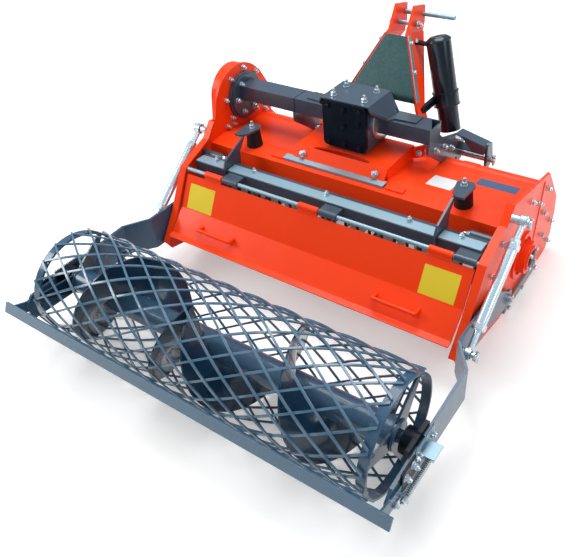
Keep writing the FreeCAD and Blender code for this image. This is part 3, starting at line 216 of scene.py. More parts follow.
# %% [markdown]
# Even a new machine has a little yard dust on its level faces.  The upward part of the face's normal says how level
# it is, and noise makes the dust lie in soft drifts.
# %% Group: settled dust
def settled_dust():
    group, given, result = start_group("settled_dust", {"Amount": "Float"}, {"Mask": "Float"})
    normal = add(group, "NewGeometry").outputs["Normal"]
    level = add(group, "SeparateXYZ", {0: normal}).outputs["Z"]
    level = rescale(group, level, 0.35, 1.0)
    where = add(group, "TexCoord").outputs["Object"]
    drifts = add(group, "TexNoise", {"Vector": where, "Scale": 6.5, "Detail": 7.0}).outputs[0]
    drifts = rescale(group, drifts, 0.38, 0.72)
    mask = maths(group, "MULTIPLY", maths(group, "MULTIPLY", level, drifts), given["Amount"])
    group.links.new(mask, result["Mask"])
    return group


SETTLED_DUST = settled_dust()
print("group", SETTLED_DUST.name)

# %% [markdown]
# Zinc that was dipped hot freezes in flat crystals, the spangle of a galvanised sheet.  A Voronoi texture makes the
# crystals, and each one gets its own tone and dullness.  Small hardware is plated in a bath and has a finer grain,
# so the crystal size is an input.
# %% Group: zinc spangle
def zinc_spangle():
    group, given, result = start_group(
        "zinc_spangle", {"Colour": "Color", "Crystals": "Float", "Contrast": "Float", "Shine": "Float"},
        {"Colour": "Color", "Roughness": "Float", "Height": "Float"})
    where = add(group, "TexCoord").outputs["Object"]
    cells = add(group, "TexVoronoi", {"Vector": where, "Scale": given["Crystals"], "Randomness": 1.0})
    tone = add(group, "SeparateColor", {0: cells.outputs["Color"]}).outputs[0]
    clouds = add(group, "TexNoise", {"Vector": where, "Scale": 7.0, "Detail": 5.0}).outputs[0]
    both = maths(group, "SUBTRACT", maths(group, "ADD", tone, clouds), 1.0)
    swing = maths(group, "MULTIPLY", both, given["Contrast"])
    shade = maths(group, "ADD", swing, 1.0)
    toned = add(group, "VectorMath", {0: given["Colour"], "Scale": shade}, operation="SCALE").outputs[0]
    group.links.new(toned, result["Colour"])
    dull = maths(group, "ADD", given["Shine"], maths(group, "MULTIPLY", swing, 0.5))
    group.links.new(dull, result["Roughness"])
    group.links.new(maths(group, "MULTIPLY", clouds, 0.1), result["Height"])
    return group


ZINC_SPANGLE = zinc_spangle()
print("group", ZINC_SPANGLE.name)

# %% [markdown]
# A painted part is colour over primer over steel.  The film group gives the colour, the edge group lays a lighter
# tone of that colour along the edges, partly wear and partly a painted highlight, dust lies on top, and a clear coat
# on the shader gives the wet shine of new paint.  One function mixes all the paints, and the moulded plastics and the
# bare steel too, each with its own edge wear and painted highlight, and its own dust.
# %% Painted and moulded finishes
DUST = (0.42, 0.36, 0.29, 1.0)
DUST_ROUGHNESS = 0.5
PRIMER = (0.34, 0.36, 0.38, 1.0)
PAINT_EDGE, PAINT_BUMP = 1.6 * MM, 0.4 * MM


def finish(name, colour, shine, coat=0.0, metal=0.0, lit_worn_edge=PRIMER, wear=0.5, dust=0.15, patch=2.2, depth=0.14,
           peel=0.25, gloss=0.5):
    """A paint: its colour, the lighter colour of its edges (partly wear, partly a painted highlight), its roughness,
    and how far it is worn and lit at the edges, dusty and uneven.
    """
    material = bpy.data.materials.new(name)
    material.use_nodes = True
    tree = material.node_tree
    shader = tree.nodes["Principled BSDF"]
    film = place_group(tree, UNEVEN_FILM, colour=(*colour, 1.0), patch=patch, depth=depth, shine=shine, peel=peel)
    edges = place_group(tree, EDGE_WEAR_AND_HIGHLIGHT, edge_radius=PAINT_EDGE, wear=wear)
    drift = place_group(tree, SETTLED_DUST, amount=dust)
    # Lighter edges: partly rubbed paint, partly a painted highlight along each edge.
    edge_worn_and_lit = blend(tree, edges["Mask"], film["Colour"], lit_worn_edge)
    dusty = blend(tree, drift["Mask"], edge_worn_and_lit, DUST)
    rough = maths(tree, "ADD", film["Roughness"], maths(tree, "MULTIPLY", drift["Mask"], DUST_ROUGHNESS))
    bump = add(tree, "Bump", {"Strength": 0.22, "Distance": PAINT_BUMP, "Height": film["Height"],
                              "Normal": edges["Rounded"]}).outputs[0]
    tree.links.new(dusty, shader.inputs["Base Color"])
    tree.links.new(rough, shader.inputs["Roughness"])
    tree.links.new(bump, shader.inputs["Normal"])
    shader.inputs["Metallic"].default_value = metal
    shader.inputs["Coat Weight"].default_value = coat
    shader.inputs["Coat Roughness"].default_value = 0.08
    shader.inputs["Specular IOR Level"].default_value = gloss
    return material


# Each edge colour below is a lighter tone of its paint: painted edge highlight as well as wear.
ORANGE = finish("orange_paint", (1.0, 0.054, 0.004), 0.36, coat=0.10, lit_worn_edge=(0.95, 0.22, 0.10, 1.0), wear=0.5,
                dust=0.02, depth=0.07, gloss=0.18)
DARK = finish("dark_blue_grey_paint", (0.038, 0.060, 0.092), 0.32, coat=0.3, lit_worn_edge=(0.16, 0.21, 0.26, 1.0), dust=0.03)
ROLLER_BLUE = finish("roller_blue_grey_paint", (0.036, 0.088, 0.155), 0.26, coat=0.3,
                     lit_worn_edge=(0.22, 0.38, 0.52, 1.0), wear=0.9, dust=0.0, depth=0.30, gloss=0.35)
# A lighter copy of the roller's paint for the mesh and scraper: painted highlight.
ROLLER_BLUE_LIT = finish("roller_paint_lit_copy", (0.070, 0.150, 0.230), 0.28, coat=0.5, lit_worn_edge=(0.34, 0.52, 0.66, 1.0),
                   wear=1.0, dust=0.0, depth=0.25)
# A darker copy of the roller's paint for the flights and spokes inside the roller: painted shade.
ROLLER_BLUE_SHADED = finish("roller_paint_shaded_copy", (0.007, 0.034, 0.070), 0.24, coat=0.35, lit_worn_edge=(0.08, 0.22, 0.36, 1.0),
                     wear=0.8, dust=0.0, depth=0.35, patch=5.0, gloss=0.35)
BLACK = finish("black_casting_paint", (0.003, 0.006, 0.014), 0.30, coat=0.05, lit_worn_edge=(0.04, 0.05, 0.06, 1.0),
               dust=0.0, peel=0.8, gloss=0.14)
MOULDED = finish("black_moulding", (0.006, 0.012, 0.022), 0.16, lit_worn_edge=(0.03, 0.035, 0.045, 1.0), wear=0.2, dust=0.02)
RUBBER = finish("black_rubber", (0.006, 0.006, 0.008), 0.48, lit_worn_edge=(0.03, 0.03, 0.03, 1.0), wear=0.2, dust=0.03,
                peel=0.7, gloss=0.3)
STEEL = finish("bare_steel", (0.30, 0.29, 0.28), 0.42, metal=0.85, lit_worn_edge=(0.55, 0.54, 0.52, 1.0), wear=0.9,
               dust=0.2, depth=0.3, patch=9.0)
PAINTS = (ORANGE, DARK, ROLLER_BLUE, ROLLER_BLUE_LIT, ROLLER_BLUE_SHADED, BLACK, MOULDED, RUBBER, STEEL)
print("finishes:", [paint.name for paint in PAINTS])

# %% [markdown]
# Galvanised sheet and plated hardware are bare metal, so their colour belongs to their reflection: metallic is high,
# and the spangle group changes the tone from crystal to crystal.  The sheet has crystals some millimetres wide, and
# the bolts a fine satin grain.
# %% Zinc finishes
# The bright edge colour is partly rubbed zinc and partly a painted highlight along each edge.
BRIGHT_EDGE = (0.85, 0.87, 0.88, 1.0)
ZINC_EDGE, ZINC_BUMP = 0.8 * MM, 0.3 * MM


def zinc(name, colour, crystals, contrast, shine, metal=0.85):
    """A bare zinc finish.  A larger value of crystals makes them smaller."""
    material = bpy.data.materials.new(name)
    material.use_nodes = True
    tree = material.node_tree
    shader = tree.nodes["Principled BSDF"]
    spangle = place_group(tree, ZINC_SPANGLE, colour=(*colour, 1.0), crystals=crystals, contrast=contrast,
                          shine=shine)
    edges = place_group(tree, EDGE_WEAR_AND_HIGHLIGHT, edge_radius=ZINC_EDGE, wear=0.35)
    # Brighter edges: partly rubbed zinc, partly a painted highlight.
    edge_worn_and_lit = blend(tree, edges["Mask"], spangle["Colour"], BRIGHT_EDGE)
    bump = add(tree, "Bump", {"Strength": 0.2, "Distance": ZINC_BUMP, "Height": spangle["Height"],
                              "Normal": edges["Rounded"]}).outputs[0]
    tree.links.new(edge_worn_and_lit, shader.inputs["Base Color"])
    tree.links.new(spangle["Roughness"], shader.inputs["Roughness"])
    tree.links.new(bump, shader.inputs["Normal"])
    shader.inputs["Metallic"].default_value = metal
    return material


ZINC_SHEET = zinc("galvanised_sheet", (0.11, 0.17, 0.15), crystals=150.0, contrast=0.10, shine=0.20, metal=1.0)
ZINC_BOLT = zinc("plated_hardware", (0.60, 0.66, 0.69), crystals=700.0, contrast=0.10, shine=0.27)
ZINC_DULL = zinc("dull_zinc", (0.30, 0.42, 0.47), crystals=500.0, contrast=0.10, shine=0.50)
print("zinc:", ZINC_SHEET.name, ZINC_BOLT.name, ZINC_DULL.name)

# %% [markdown]
# Stickers and plates are printed film: a flat colour with a faint mottle and a soft gloss.  They stay blank here.
# Their colour still goes through the film group, because sun and thumbs are uneven.  The brown liner of the document
# tube is mixed here too.
# %% Sticker finishes
YELLOW = finish("yellow_sticker", (0.86, 0.66, 0.02), 0.34, coat=0.3, wear=0.0, dust=0.03, depth=0.05, peel=0.1)
WHITE = finish("white_sticker", (0.78, 0.80, 0.83), 0.34, coat=0.3, wear=0.0, dust=0.03, depth=0.04, peel=0.1)
NAVY = finish("navy_sticker", (0.045, 0.085, 0.19), 0.30, coat=0.4, wear=0.0, dust=0.05, depth=0.08, peel=0.1)
PAPER = finish("brown_liner", (0.16, 0.06, 0.03), 0.70, wear=0.0, dust=0.0, depth=0.3, peel=0.6)
print("stickers:", YELLOW.name, WHITE.name, NAVY.name, PAPER.name)

# %% [markdown]
# The record of the machine says which finish each part has: orange housing, dark drive line and hitch, plated
# hardware.  A few parts differ from their slot in a way that only shows in the paint shop, such as the roller's bluer
# grey, so a short list of exceptions follows the general rule.  The roller's mesh and scraper take a lighter copy of
# its paint, a painted highlight, and its flights and spokes a darker copy, painted shade inside the roller.
# %% Dress the parts
BY_SLOT = {"orange_paint": ORANGE, "dark_paint": DARK, "galvanised": ZINC_BOLT, "black_parts": BLACK,
           "bare_steel": STEEL, "rubber_stops": RUBBER}
EXCEPTIONS = {"rotor_bearing_hubs": ORANGE, "roller_mesh_outer": ROLLER_BLUE_LIT, "roller_mesh_inner": ROLLER_BLUE_LIT,
              "scraper_bar": ROLLER_BLUE_LIT, "auger_flights": ROLLER_BLUE_SHADED, "roller_spokes": ROLLER_BLUE_SHADED,
              "a_frame_guard": ZINC_SHEET, "comb_strip": ZINC_DULL, "cradle_pad_bar": ZINC_DULL,
              "hinge_rod": ZINC_DULL, "top_link_pins": ZINC_DULL, "comb_tines": BLACK, "document_tube": MOULDED,
              "pto_guard": MOULDED}
ROLLER_PARTS = ("roller_", "auger_", "scraper_b")

for subpart in frame["record"]["subparts"]:
    node = subpart["node"]
    material = EXCEPTIONS.get(node, BY_SLOT[subpart["material_slot"]])
    if node.startswith(ROLLER_PARTS) and material is DARK:
        material = ROLLER_BLUE
    for slot in NODES[node].material_slots:
        slot.material = material

# %% [markdown]
# Most small parts of a machine are turned or sawn: a nut is a six-sided turning, a washer a round one, and a tab is
# a flat outline pushed through its thickness.  Three mesh makers cover them, and one closing step turns the mesh
# into an object with soft edges that rides on its body of the machine.
# %% Mesh makers
RIGHT, LEFT, FORWARDS, REARWARDS = Vector((1, 0, 0)), Vector((-1, 0, 0)), Vector((0, 1, 0)), Vector((0, -1, 0))
UP, DOWN = Vector((0, 0, 1)), Vector((0, 0, -1))
SHARP = radians(32)


def spin(shape, profile, base, axis, sides, phase=0.0):
    """Adds a turned solid: profile holds (radius, height) pairs along the axis, in millimetres."""
    axis = Vector(axis).normalized()
    first = axis.orthogonal().normalized()
    second = axis.cross(first)
    angles = [tau * k / sides + phase for k in range(sides)]
    rings = []
    for radius, height in profile:
        centre = base + axis * (height * MM)
        if radius == 0:
            rings.append([shape.verts.new(centre)])
        else:
            outward = [(first * cos(a) + second * sin(a)) * (radius * MM) for a in angles]
            rings.append([shape.verts.new(centre + arm) for arm in outward])
    for low, high in zip(rings, rings[1:]):
        for k in range(sides):
            n = (k + 1) % sides
            if len(high) == 1:
                shape.faces.new((low[k], low[n], high[0]))
            else:
                shape.faces.new((low[k], low[n], high[n], high[k]))
    for ring in (rings[0], rings[-1]):
        if len(ring) > 1:
            shape.faces.new(ring)


def push(shape, corners, along):
    """Adds a flat outline pushed along a vector into a solid plate."""
    low = [shape.verts.new(corner) for corner in corners]
    high = [shape.verts.new(corner + along) for corner in corners]
    shape.faces.new(low[::-1])
    shape.faces.new(high)
    for k in range(len(low)):
        n = (k + 1) % len(low)
        shape.faces.new((low[k], low[n], high[n], high[k]))


def box(shape, low, high):
    x, y, z = high - low
    corners = [low, low + Vector((x, 0, 0)), low + Vector((x, y, 0)), low + Vector((0, y, 0))]
    push(shape, corners, Vector((0, 0, z)))


def close(name, shape, material, body, soften=0.0):
    """Makes the mesh an object on its body.  Soften is the width of its rounded edges, in millimetres."""
    bmesh.ops.recalc_face_normals(shape, faces=shape.faces)
    mesh = bpy.data.meshes.new(name)
    shape.to_mesh(mesh)
    shape.free()
    mesh.materials.append(material)
    mesh.shade_smooth()
    mesh.set_sharp_from_angle(angle=SHARP)
    piece = bpy.data.objects.new(name, mesh)
    bpy.context.scene.collection.objects.link(piece)
    if soften:
        rounding = piece.modifiers.new("soft_edges", "BEVEL")
        rounding.width = soften * MM
        rounding.segments = 2
    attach(piece, body)
    print(name, len(mesh.polygons), "faces on", body)
    return piece


def plated(name, shape, body="housing"):
    return close(name, shape, ZINC_BOLT, body)


print("mesh makers ready")

# %% [markdown]
# A bolt shows three things: a washer, a six-sided head with its corners turned off, and, where it is a nut on a stud,
# the end of the thread.  All the bolts of one joint make one mesh, because nobody moves them apart.  The lines that
# find their seats start well outside the machine.
# %% Bolts
WASHER_HIGH, HEAD_HIGH = 0.14, 0.62  # shares of the width across the flats
BESIDE, BEHIND, ABOVE = 900, -600, 800


def bolt(shape, base, axis, flats, stud=0.0, phase=0.0):
    """Adds a washer and a head of that width across its flats, and the stud's end where it has one."""
    corner = flats / sqrt(3)
    seat = WASHER_HIGH * flats
    top = seat + HEAD_HIGH * flats
    spin(shape, [(0.68 * flats, 0), (0.70 * flats, 0.02 * flats), (0.68 * flats, seat)], base, axis, 24)
    spin(shape, [(0.9 * corner, seat), (corner, seat + 0.06 * flats), (corner, top - 0.12 * flats),
                 (0.84 * corner, top), (0.5 * corner, top + 0.02 * flats), (0, top + 0.02 * flats)],
         base, axis, 6, phase)
    if stud:
        reach = top + stud
        spin(shape, [(0.29 * flats, top), (0.29 * flats, reach - 1.2), (0.22 * flats, reach), (0, reach)],
             base, axis, 16)


def bolts_on(name, node, starts, toward, body="housing", slot="galvanised", material=ZINC_BOLT, **looks):
    """Seats one bolt where the line from each start meets the node's face, square to that face."""
    shape = bmesh.new()
    for number, start in enumerate(starts):
        place, normal = meet(node, start, toward)
        bolt(shape, place, normal, phase=0.5 * number, **looks)
    return close(name, shape, material, body)


def beside(side, places):
    """Starting points to the right (1) or left (-1) of the machine, level with (forwards, up) places."""
    return [at(side * BESIDE, y, z) for y, z in places]


print("bolts ready")

# %% [markdown]
# The long drive tube ends in a stepped disc that is bolted to the left side plate, and the plate's round lobe carries
# the chain case's own ring of nuts round it.  Both rings are laid out with one loop over angles.
# %% Bolts of the left flange
DISC_Y, DISC_Z = 68.0, 526.0
OUTER_NUTS = ((-19, 428), (-58, 430), (196, 408))  # below the ring, on the plate itself
RING_FOOT = 430  # nuts of the ring lower than this are left out


def ring(radius, count, first, x):
    angles = [radians(first) + tau * k / count for k in range(count)]
    return [at(x, DISC_Y + radius * cos(a), DISC_Z + radius * sin(a)) for a in angles]


bolts_on("flange_bolts", "drive_tube_left", ring(radius=68, count=6, first=-2, x=-540), LEFT, flats=18, stud=7)
lobe_places = [place for place in ring(radius=115, count=8, first=37, x=-600) if place.z > RING_FOOT * MM]
lobe_places += [at(-600, y, z) for y, z in OUTER_NUTS]
bolts_on("lobe_nuts", "side_plate_left", lobe_places, LEFT, flats=16, stud=8)

# %% [markdown]
# The gearbox is closed at the back with a black cast cover on eight screws, and its top plate is held by four taller
# bolts whose ends stand up bright.  A pale machined ring shows on each side, where a drive tube is flanged on.
# %% Gearbox hardware
COVER_SCREWS = ((-68, 72), (0, 66), (68, 72), (62, 22), (0, 0), (-68, -74), (0, -72), (68, -74))
PLATE_BOLT_X, PLATE_BOLT_Y = (-66, 66), (-22, 68)
SIDE_RING_OUT, SIDE_RING_Y, SIDE_RING_Z = 89.5, 58, 562

cover_x, cover_z = middle_of("gearbox_cover").x / MM, middle_of("gearbox_cover").z / MM
bolts_on("cover_screws", "gearbox_cover", [at(cover_x + x, BEHIND, cover_z + z) for x, z in COVER_SCREWS], FORWARDS,
         slot="black_parts", material=BLACK, flats=15)
bolts_on("top_plate_bolts", "gearbox_top_plate",
         [at(cover_x + x, y, ABOVE) for x in PLATE_BOLT_X for y in PLATE_BOLT_Y], DOWN, flats=19, stud=12)

shape = bmesh.new()
for side in (1, -1):
    root = at(cover_x + side * SIDE_RING_OUT, SIDE_RING_Y, SIDE_RING_Z)
    spin(shape, [(70, 0), (70, 6), (66, 8), (52, 8)], root, RIGHT * side, 48)
plated("gearbox_side_rings", shape)

# %% [markdown]
# The cradle is the bent bridge that carries the gearbox over the hood.  Its bolts sit on the sloping rear face and on
# the two front flanges, and a small orange strap is welded to the hood on each side of it.
# %% Cradle hardware
STRAPS = ((172, 246), (-346, -288))  # left and right end of each
STRAP_HALF_WIDE, STRAP_THICK = 14, 7

bolts_on("cradle_rear_bolts", "gearbox_cradle", [at(x, BEHIND, 438) for x in (112, -212)], FORWARDS, flats=19, stud=5)
bolts_on("cradle_front_bolts", "gearbox_cradle", [at(x, -60, 436) for x in (178, -278)], FORWARDS, flats=19, stud=5)

shape = bmesh.new()
for x0, x1 in STRAPS:
    place, normal = meet("hood", at((x0 + x1) / 2, -134, ABOVE), DOWN)
    half = normal.cross(RIGHT) * STRAP_HALF_WIDE * MM
    near, far = Vector((x0 * MM, place.y, place.z)), Vector((x1 * MM, place.y, place.z))
    push(shape, [near + half, far + half, far - half, near - half], normal * STRAP_THICK * MM)
close("cradle_straps", shape, ORANGE, "housing", soften=1.5)

# %% [markdown]
# The long tube is made of two lengths that meet in a narrow dark joint, and the orange front tube carries a clamp
# band where a chain can be hung.  Each is a thin sleeve that follows the tube it sits on.
# %% Tube joint and clamp band
BAND_X = 327

shape = bmesh.new()
box(shape, at(-342, 23.4, 525.4), at(-339, 112.6, 586.6))
close("tube_joint", shape, BLACK, "housing")

shape = bmesh.new()
tube = middle_of("front_tube")
spin(shape, [(38, 0), (41, 0.5), (41, 62.5), (38, 63)], Vector((BAND_X * MM, tube.y, tube.z)), RIGHT, 48)
close("front_tube_band", shape, ORANGE, "housing")

# %% [markdown]
# The comb beam has a galvanised strip on top, held down by a row of bolts, and it turns on two short tubes at its
# ends.  Each rubber stop on the hood is held by a tall bolt through the hooked arm above it.
# %% Comb beam hardware
STRIP_BOLT_X = (-530, -338, 0, 338, 530)
STOP_X = 459
PIVOT_IN, PIVOT_OUT = -104, 10  # bolts inside and outside the ends of the pivot tubes

bolts_on("strip_bolts", "comb_strip", [at(x, -268, ABOVE) for x in STRIP_BOLT_X], DOWN, flats=17, stud=6)
bolts_on("bumper_bolts", "bumper_arms", [at(x, -112, ABOVE) for x in (-STOP_X, STOP_X)], DOWN, flats=19, stud=14)

shape = bmesh.new()
pivot, pivot_end = middle_of("comb_pivot_tubes"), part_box("comb_pivot_tubes")[1].x
for side in (-1, 1):
    inner = Vector((side * (pivot_end + PIVOT_IN * MM), pivot.y, pivot.z))
    outer = Vector((side * (pivot_end + PIVOT_OUT * MM), pivot.y, pivot.z))
    bolt(shape, inner, RIGHT * -side, flats=19, stud=10)
    bolt(shape, outer, RIGHT * side, flats=19, stud=6)
plated("comb_pivot_bolts", shape)

# %% [markdown]
# Both side plates are bolted on in two sheets, so a column of bolts runs down behind the front edge and more sit
# round the rotor's bearing.  The left plate is mostly covered by the chain case, whose lid has its own bolts.
# %% Side plate hardware
AXIS_Z = 195
PLATE_BOLTS = ((205, 365), (27, 407), (122, 346), (204, 259), (328, 151), (229, 141), (330, 52), (-292, 300))
LEFT_PLATE_BOLTS = [(y, z) for y, z in PLATE_BOLTS if y > 150 or y < 0]
BAR_BOLTS = ((-112, 34), (20, 34), (158, 34))
CASE_BOLTS = ((-84, AXIS_Z), (84, AXIS_Z), (0, 112), (-30, 350), (106, 380), (68, 632), (-32, 560), (168, 560),
              (-20, 460), (150, 460))
HUB_BOLT_RADIUS = 38

bolts_on("right_plate_bolts", "side_plate_right", beside(1, PLATE_BOLTS), LEFT, flats=17, stud=5)
bolts_on("left_plate_bolts", "side_plate_left", beside(-1, LEFT_PLATE_BOLTS), RIGHT, flats=17, stud=5)
bolts_on("right_bar_bolts", "side_skids", beside(1, BAR_BOLTS), LEFT, flats=17)
bolts_on("left_bar_bolts", "side_skids", beside(-1, BAR_BOLTS), RIGHT, flats=17)
bolts_on("chain_case_bolts", "chain_case", beside(-1, CASE_BOLTS), RIGHT, flats=15)

hub_angles = [radians(a) for a in (45, 135, 225, 315)]
hub_bolts = [(HUB_BOLT_RADIUS * cos(a), AXIS_Z + HUB_BOLT_RADIUS * sin(a)) for a in hub_angles]
bolts_on("hub_bolts", "rotor_bearing_hubs", beside(1, hub_bolts), LEFT, flats=13)

# %% [markdown]
# A seam runs down each side plate where its front sheet is laid over the rear one, and an orange collar ring stands
# round the bearing.  The seam stands a little over two millimetres proud, enough to catch a line of shadow.
# %% Side plate seam and ring
PLATE_FACE = 655
SEAM = ((146, 421), (112, 96), (122, 96), (156, 421))
SEAM_PROUD = 2.5
RING_IN, RING_OUT, RING_THICK, RING_STEP = 74, 92, 8, 12  # the ring is laid in short pieces of 12 degrees

shape = bmesh.new()
for side in (-1, 1):
    push(shape, [at(side * PLATE_FACE, y, z) for y, z in SEAM], RIGHT * side * SEAM_PROUD * MM)
close("plate_seams", shape, ORANGE, "housing", soften=0.8)

shape = bmesh.new()
hub_centre = at(PLATE_FACE, 0, AXIS_Z)
for start in range(0, 360, RING_STEP):
    a0, a1 = radians(start), radians(start + RING_STEP + 0.5)
    corners = [hub_centre + (FORWARDS * cos(a) + UP * sin(a)) * r * MM
               for a, r in ((a0, RING_IN), (a1, RING_IN), (a1, RING_OUT), (a0, RING_OUT))]
    push(shape, corners, RIGHT * RING_THICK * MM)
close("bearing_ring", shape, ORANGE, "housing")

shape = bmesh.new()
cap_seat = Vector((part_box("rotor_bearing_hubs")[1].x, ROTOR_Y, AXIS_Z * MM))
spin(shape, [(31, 0.1), (31, 2.5), (26, 5), (12, 6.5), (0, 6.8)], cap_seat, RIGHT, 40)
close("bearing_cap", shape, BLACK, "housing")

# %% [markdown]
# Rings, coils, threads and weld beads are all round wire.  A curve with a round bevel is the natural way to draw wire
# in Blender: it needs only a run of points and a thickness.
# %% Wire makers
def wire(name, runs, thickness, material, body, closed=False):
    """Wires of that thickness in millimetres along runs of points, drawn as one curve object."""
    curve = bpy.data.curves.new(name, "CURVE")
    curve.dimensions = "3D"
    curve.bevel_depth = thickness * MM / 2
    curve.bevel_resolution = 2
    for points in runs:
        line = curve.splines.new("POLY")
        line.points.add(len(points) - 1)
        for knot, point in zip(line.points, points):
            knot.co = (*point, 1.0)
        line.use_cyclic_u = closed
    curve.materials.append(material)
    piece = bpy.data.objects.new(name, curve)
    bpy.context.scene.collection.objects.link(piece)
    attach(piece, body)
    print(name, len(runs), "wires on", body)
    return piece


def loop(centre, axis, radius, count=28):
    """Points round a circle of that radius, in millimetres."""
    axis = Vector(axis).normalized()
    first = axis.orthogonal().normalized()
    second = axis.cross(first)
    angles = [tau * k / count for k in range(count)]
    return [centre + (first * cos(a) + second * sin(a)) * radius * MM for a in angles]


print("wires ready")

# %% [markdown]
# The hitch plates are bolted through the drive tube's foot and the front tube.  Each pin ends in a linch pin: a short
# peg with a sprung wire ring that snaps over its end.
# %% Hitch bolts and linch pins
HITCH_BOLTS = ((151, 462), (74, 482), (262, 446), (214, 428))
PIN_END = 9 * MM  # a linch pin stands this far inside its pin's end
TOP_PIN_R = 9.5 * MM
RING_R, RING_DROP, RING_WIRE, RING_LEAN = 19, 6 * MM, 3.2, (1, 0.35, 0)
PEG = ((4, -20), (5, -18), (5, 14), (8, 14), (8, 20), (0, 21))
EAR_BOLT_X, EAR_BOLT_BACK, EAR_BOLT_LOWER = ((1, 7.5), (-1, -95.5)), 55 * MM, 24 * MM

bolts_on("hitch_bolts", "hitch_plates", beside(1, HITCH_BOLTS), LEFT, flats=18, stud=5)
bolts_on("hitch_bolts_left", "hitch_plates", beside(-1, HITCH_BOLTS), RIGHT, flats=18, stud=5)

link_low, link_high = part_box("lower_link_pins")
top_low, top_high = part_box("top_link_pins")
link = middle_of("lower_link_pins")
pin_y, pin_z = top_high.y - TOP_PIN_R, top_high.z - TOP_PIN_R
linch = [Vector((link_high.x - PIN_END, link.y, link.z)), Vector((link_low.x + PIN_END, link.y, link.z)),
         Vector((top_low.x + PIN_END, pin_y, pin_z))]
wire("linch_pin_rings", [loop(centre + DOWN * RING_DROP, RING_LEAN, RING_R) for centre in linch], RING_WIRE,
     ZINC_BOLT, "housing", closed=True)

shape = bmesh.new()
for centre in linch:
    spin(shape, PEG, centre, UP, 16)
plated("linch_pin_pegs", shape)

shape = bmesh.new()
for side, x in EAR_BOLT_X:
    bolt(shape, Vector((x * MM, pin_y - EAR_BOLT_BACK, pin_z - EAR_BOLT_LOWER)), RIGHT * side, flats=19, stud=6)
plated("ear_bolt_nuts", shape)

# %% [markdown]
# The galvanised guard across the hitch legs is folded forwards along both sides.  Its folds lie on the outer faces of
# the legs, where they catch the light as two bright strips, each with two bolts.  The fold runs along the sheet's own
# edge, so its ends come from the sheet's box.
# %% Folds of the guard sheet
FOLD_THICK, FOLD_OFF = 2.5, 6.4  # the fold lies this far out from the sheet's edge
FOLD_TOP_WIDE, FOLD_FOOT_WIDE = 20, 24

guard_low, guard_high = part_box("a_frame_guard")
hitch_middle = (guard_low.x + guard_high.x) / 2
fold_top = Vector((hitch_middle + 44 * MM, guard_high.y, guard_high.z))
fold_foot = Vector((guard_high.x, guard_low.y, guard_low.z + 2 * MM))
across_leg = Vector((0, 1, -0.256)).normalized()
off_leg = (fold_foot - fold_top).cross(across_leg).normalized()
if off_leg.x < 0:
    off_leg = -off_leg


def on_leg(point, side):
    """Mirrors a place on the right leg to the left one."""
    return point if side > 0 else Vector((2 * hitch_middle - point.x, point.y, point.z))


shape, nuts = bmesh.new(), bmesh.new()
for side in (1, -1):
    away = Vector((side * off_leg.x, off_leg.y, off_leg.z))
    corners = [fold_top, fold_foot, fold_foot + across_leg * FOLD_FOOT_WIDE * MM,
               fold_top + across_leg * FOLD_TOP_WIDE * MM]
    push(shape, [on_leg(corner + off_leg * FOLD_OFF * MM, side) for corner in corners], away * FOLD_THICK * MM)
    for share in (0.12, 0.55):
        place = fold_top.lerp(fold_foot, share) + across_leg * 13 * MM + off_leg * (FOLD_OFF + FOLD_THICK) * MM
        bolt(nuts, on_leg(place, side), away, flats=13)
close("guard_folds", shape, ZINC_DULL, "housing", soften=0.6)
plated("guard_bolts", nuts)

# %% [markdown]
# The tube for the machine's papers is a glossy black moulding.  A rib runs round its middle in two places, its cap is
# crowned, and its open foot shows the brown liner inside.
# %% Document tube details
RIB = ((50, 0), (53.5, 1.5), (53.5, 4), (50, 5.5))
CAP = ((48, -3), (49.5, -1), (46, 6), (36, 13), (22, 17), (0, 18.5))
LINER = ((36.4, 0), (36.4, 4), (20, 6), (0, 6))

tube_low, tube_top = at(190, 362, 420), at(100, 394, 763)
tube_up = (tube_top - tube_low).normalized()
shape = bmesh.new()
for share in (0.285, 0.435):
    spin(shape, RIB, tube_low.lerp(tube_top, share), tube_up, 48)
spin(shape, CAP, tube_top, tube_up, 48)
close("document_tube_ribs", shape, MOULDED, "housing")

shape = bmesh.new()
spin(shape, LINER, tube_low + tube_up * 16 * MM, tube_up, 40)
close("document_tube_liner", shape, PAPER, "housing")

shape = bmesh.new()
place, normal = meet("document_tube_brackets", at(22, 362, ABOVE), DOWN)
bolt(shape, place, normal, flats=13, stud=4)
plated("document_tube_bolts", shape)

# %% [markdown]
# Plates and stickers are thin film.  Each lies on the face below it, so its middle and its slope come from a line
# dropped on that face, and its outline turns each corner in a small quarter circle.  All stay blank.
# %% Blank stickers and plates
FILM_LIFT, FILM_THICK = 0.05, 0.35
CORNER_SHARE, CORNER_STEPS = 0.025, 4


def sticker(name, node, start, toward, wide, tall, material, body):
    place, normal = meet(node, start, toward)
    across = (RIGHT - normal * RIGHT.dot(normal)).normalized()
    upward = normal.cross(across)
    base = place + normal * FILM_LIFT * MM
    corner = min(wide, tall) * CORNER_SHARE
    outline = []
    for quarter, (sx, sy) in enumerate(((1, 1), (-1, 1), (-1, -1), (1, -1))):
        for k in range(CORNER_STEPS + 1):
            a = pi / 2 * (quarter + k / CORNER_STEPS)
            u = sx * (wide / 2 - corner) + corner * cos(a)
            v = sy * (tall / 2 - corner) + corner * sin(a)
            outline.append(base + (across * u + upward * v) * MM)
    shape = bmesh.new()
    push(shape, outline, normal * FILM_THICK * MM)
    return close(name, shape, material, body)


for side, x in {"left": -526, "right": 520}.items():
    sticker(f"door_sticker_{side}", "rear_door", at(x, BEHIND, 290), FORWARDS, 130, 102, YELLOW, "rear_door")
sticker("hood_sticker_white", "hood", at(334, -6, ABOVE), DOWN, 98, 84, WHITE, "housing")
sticker("hood_plate_navy", "hood", at(512, 78, ABOVE), DOWN, 150, 56, NAVY, "housing")

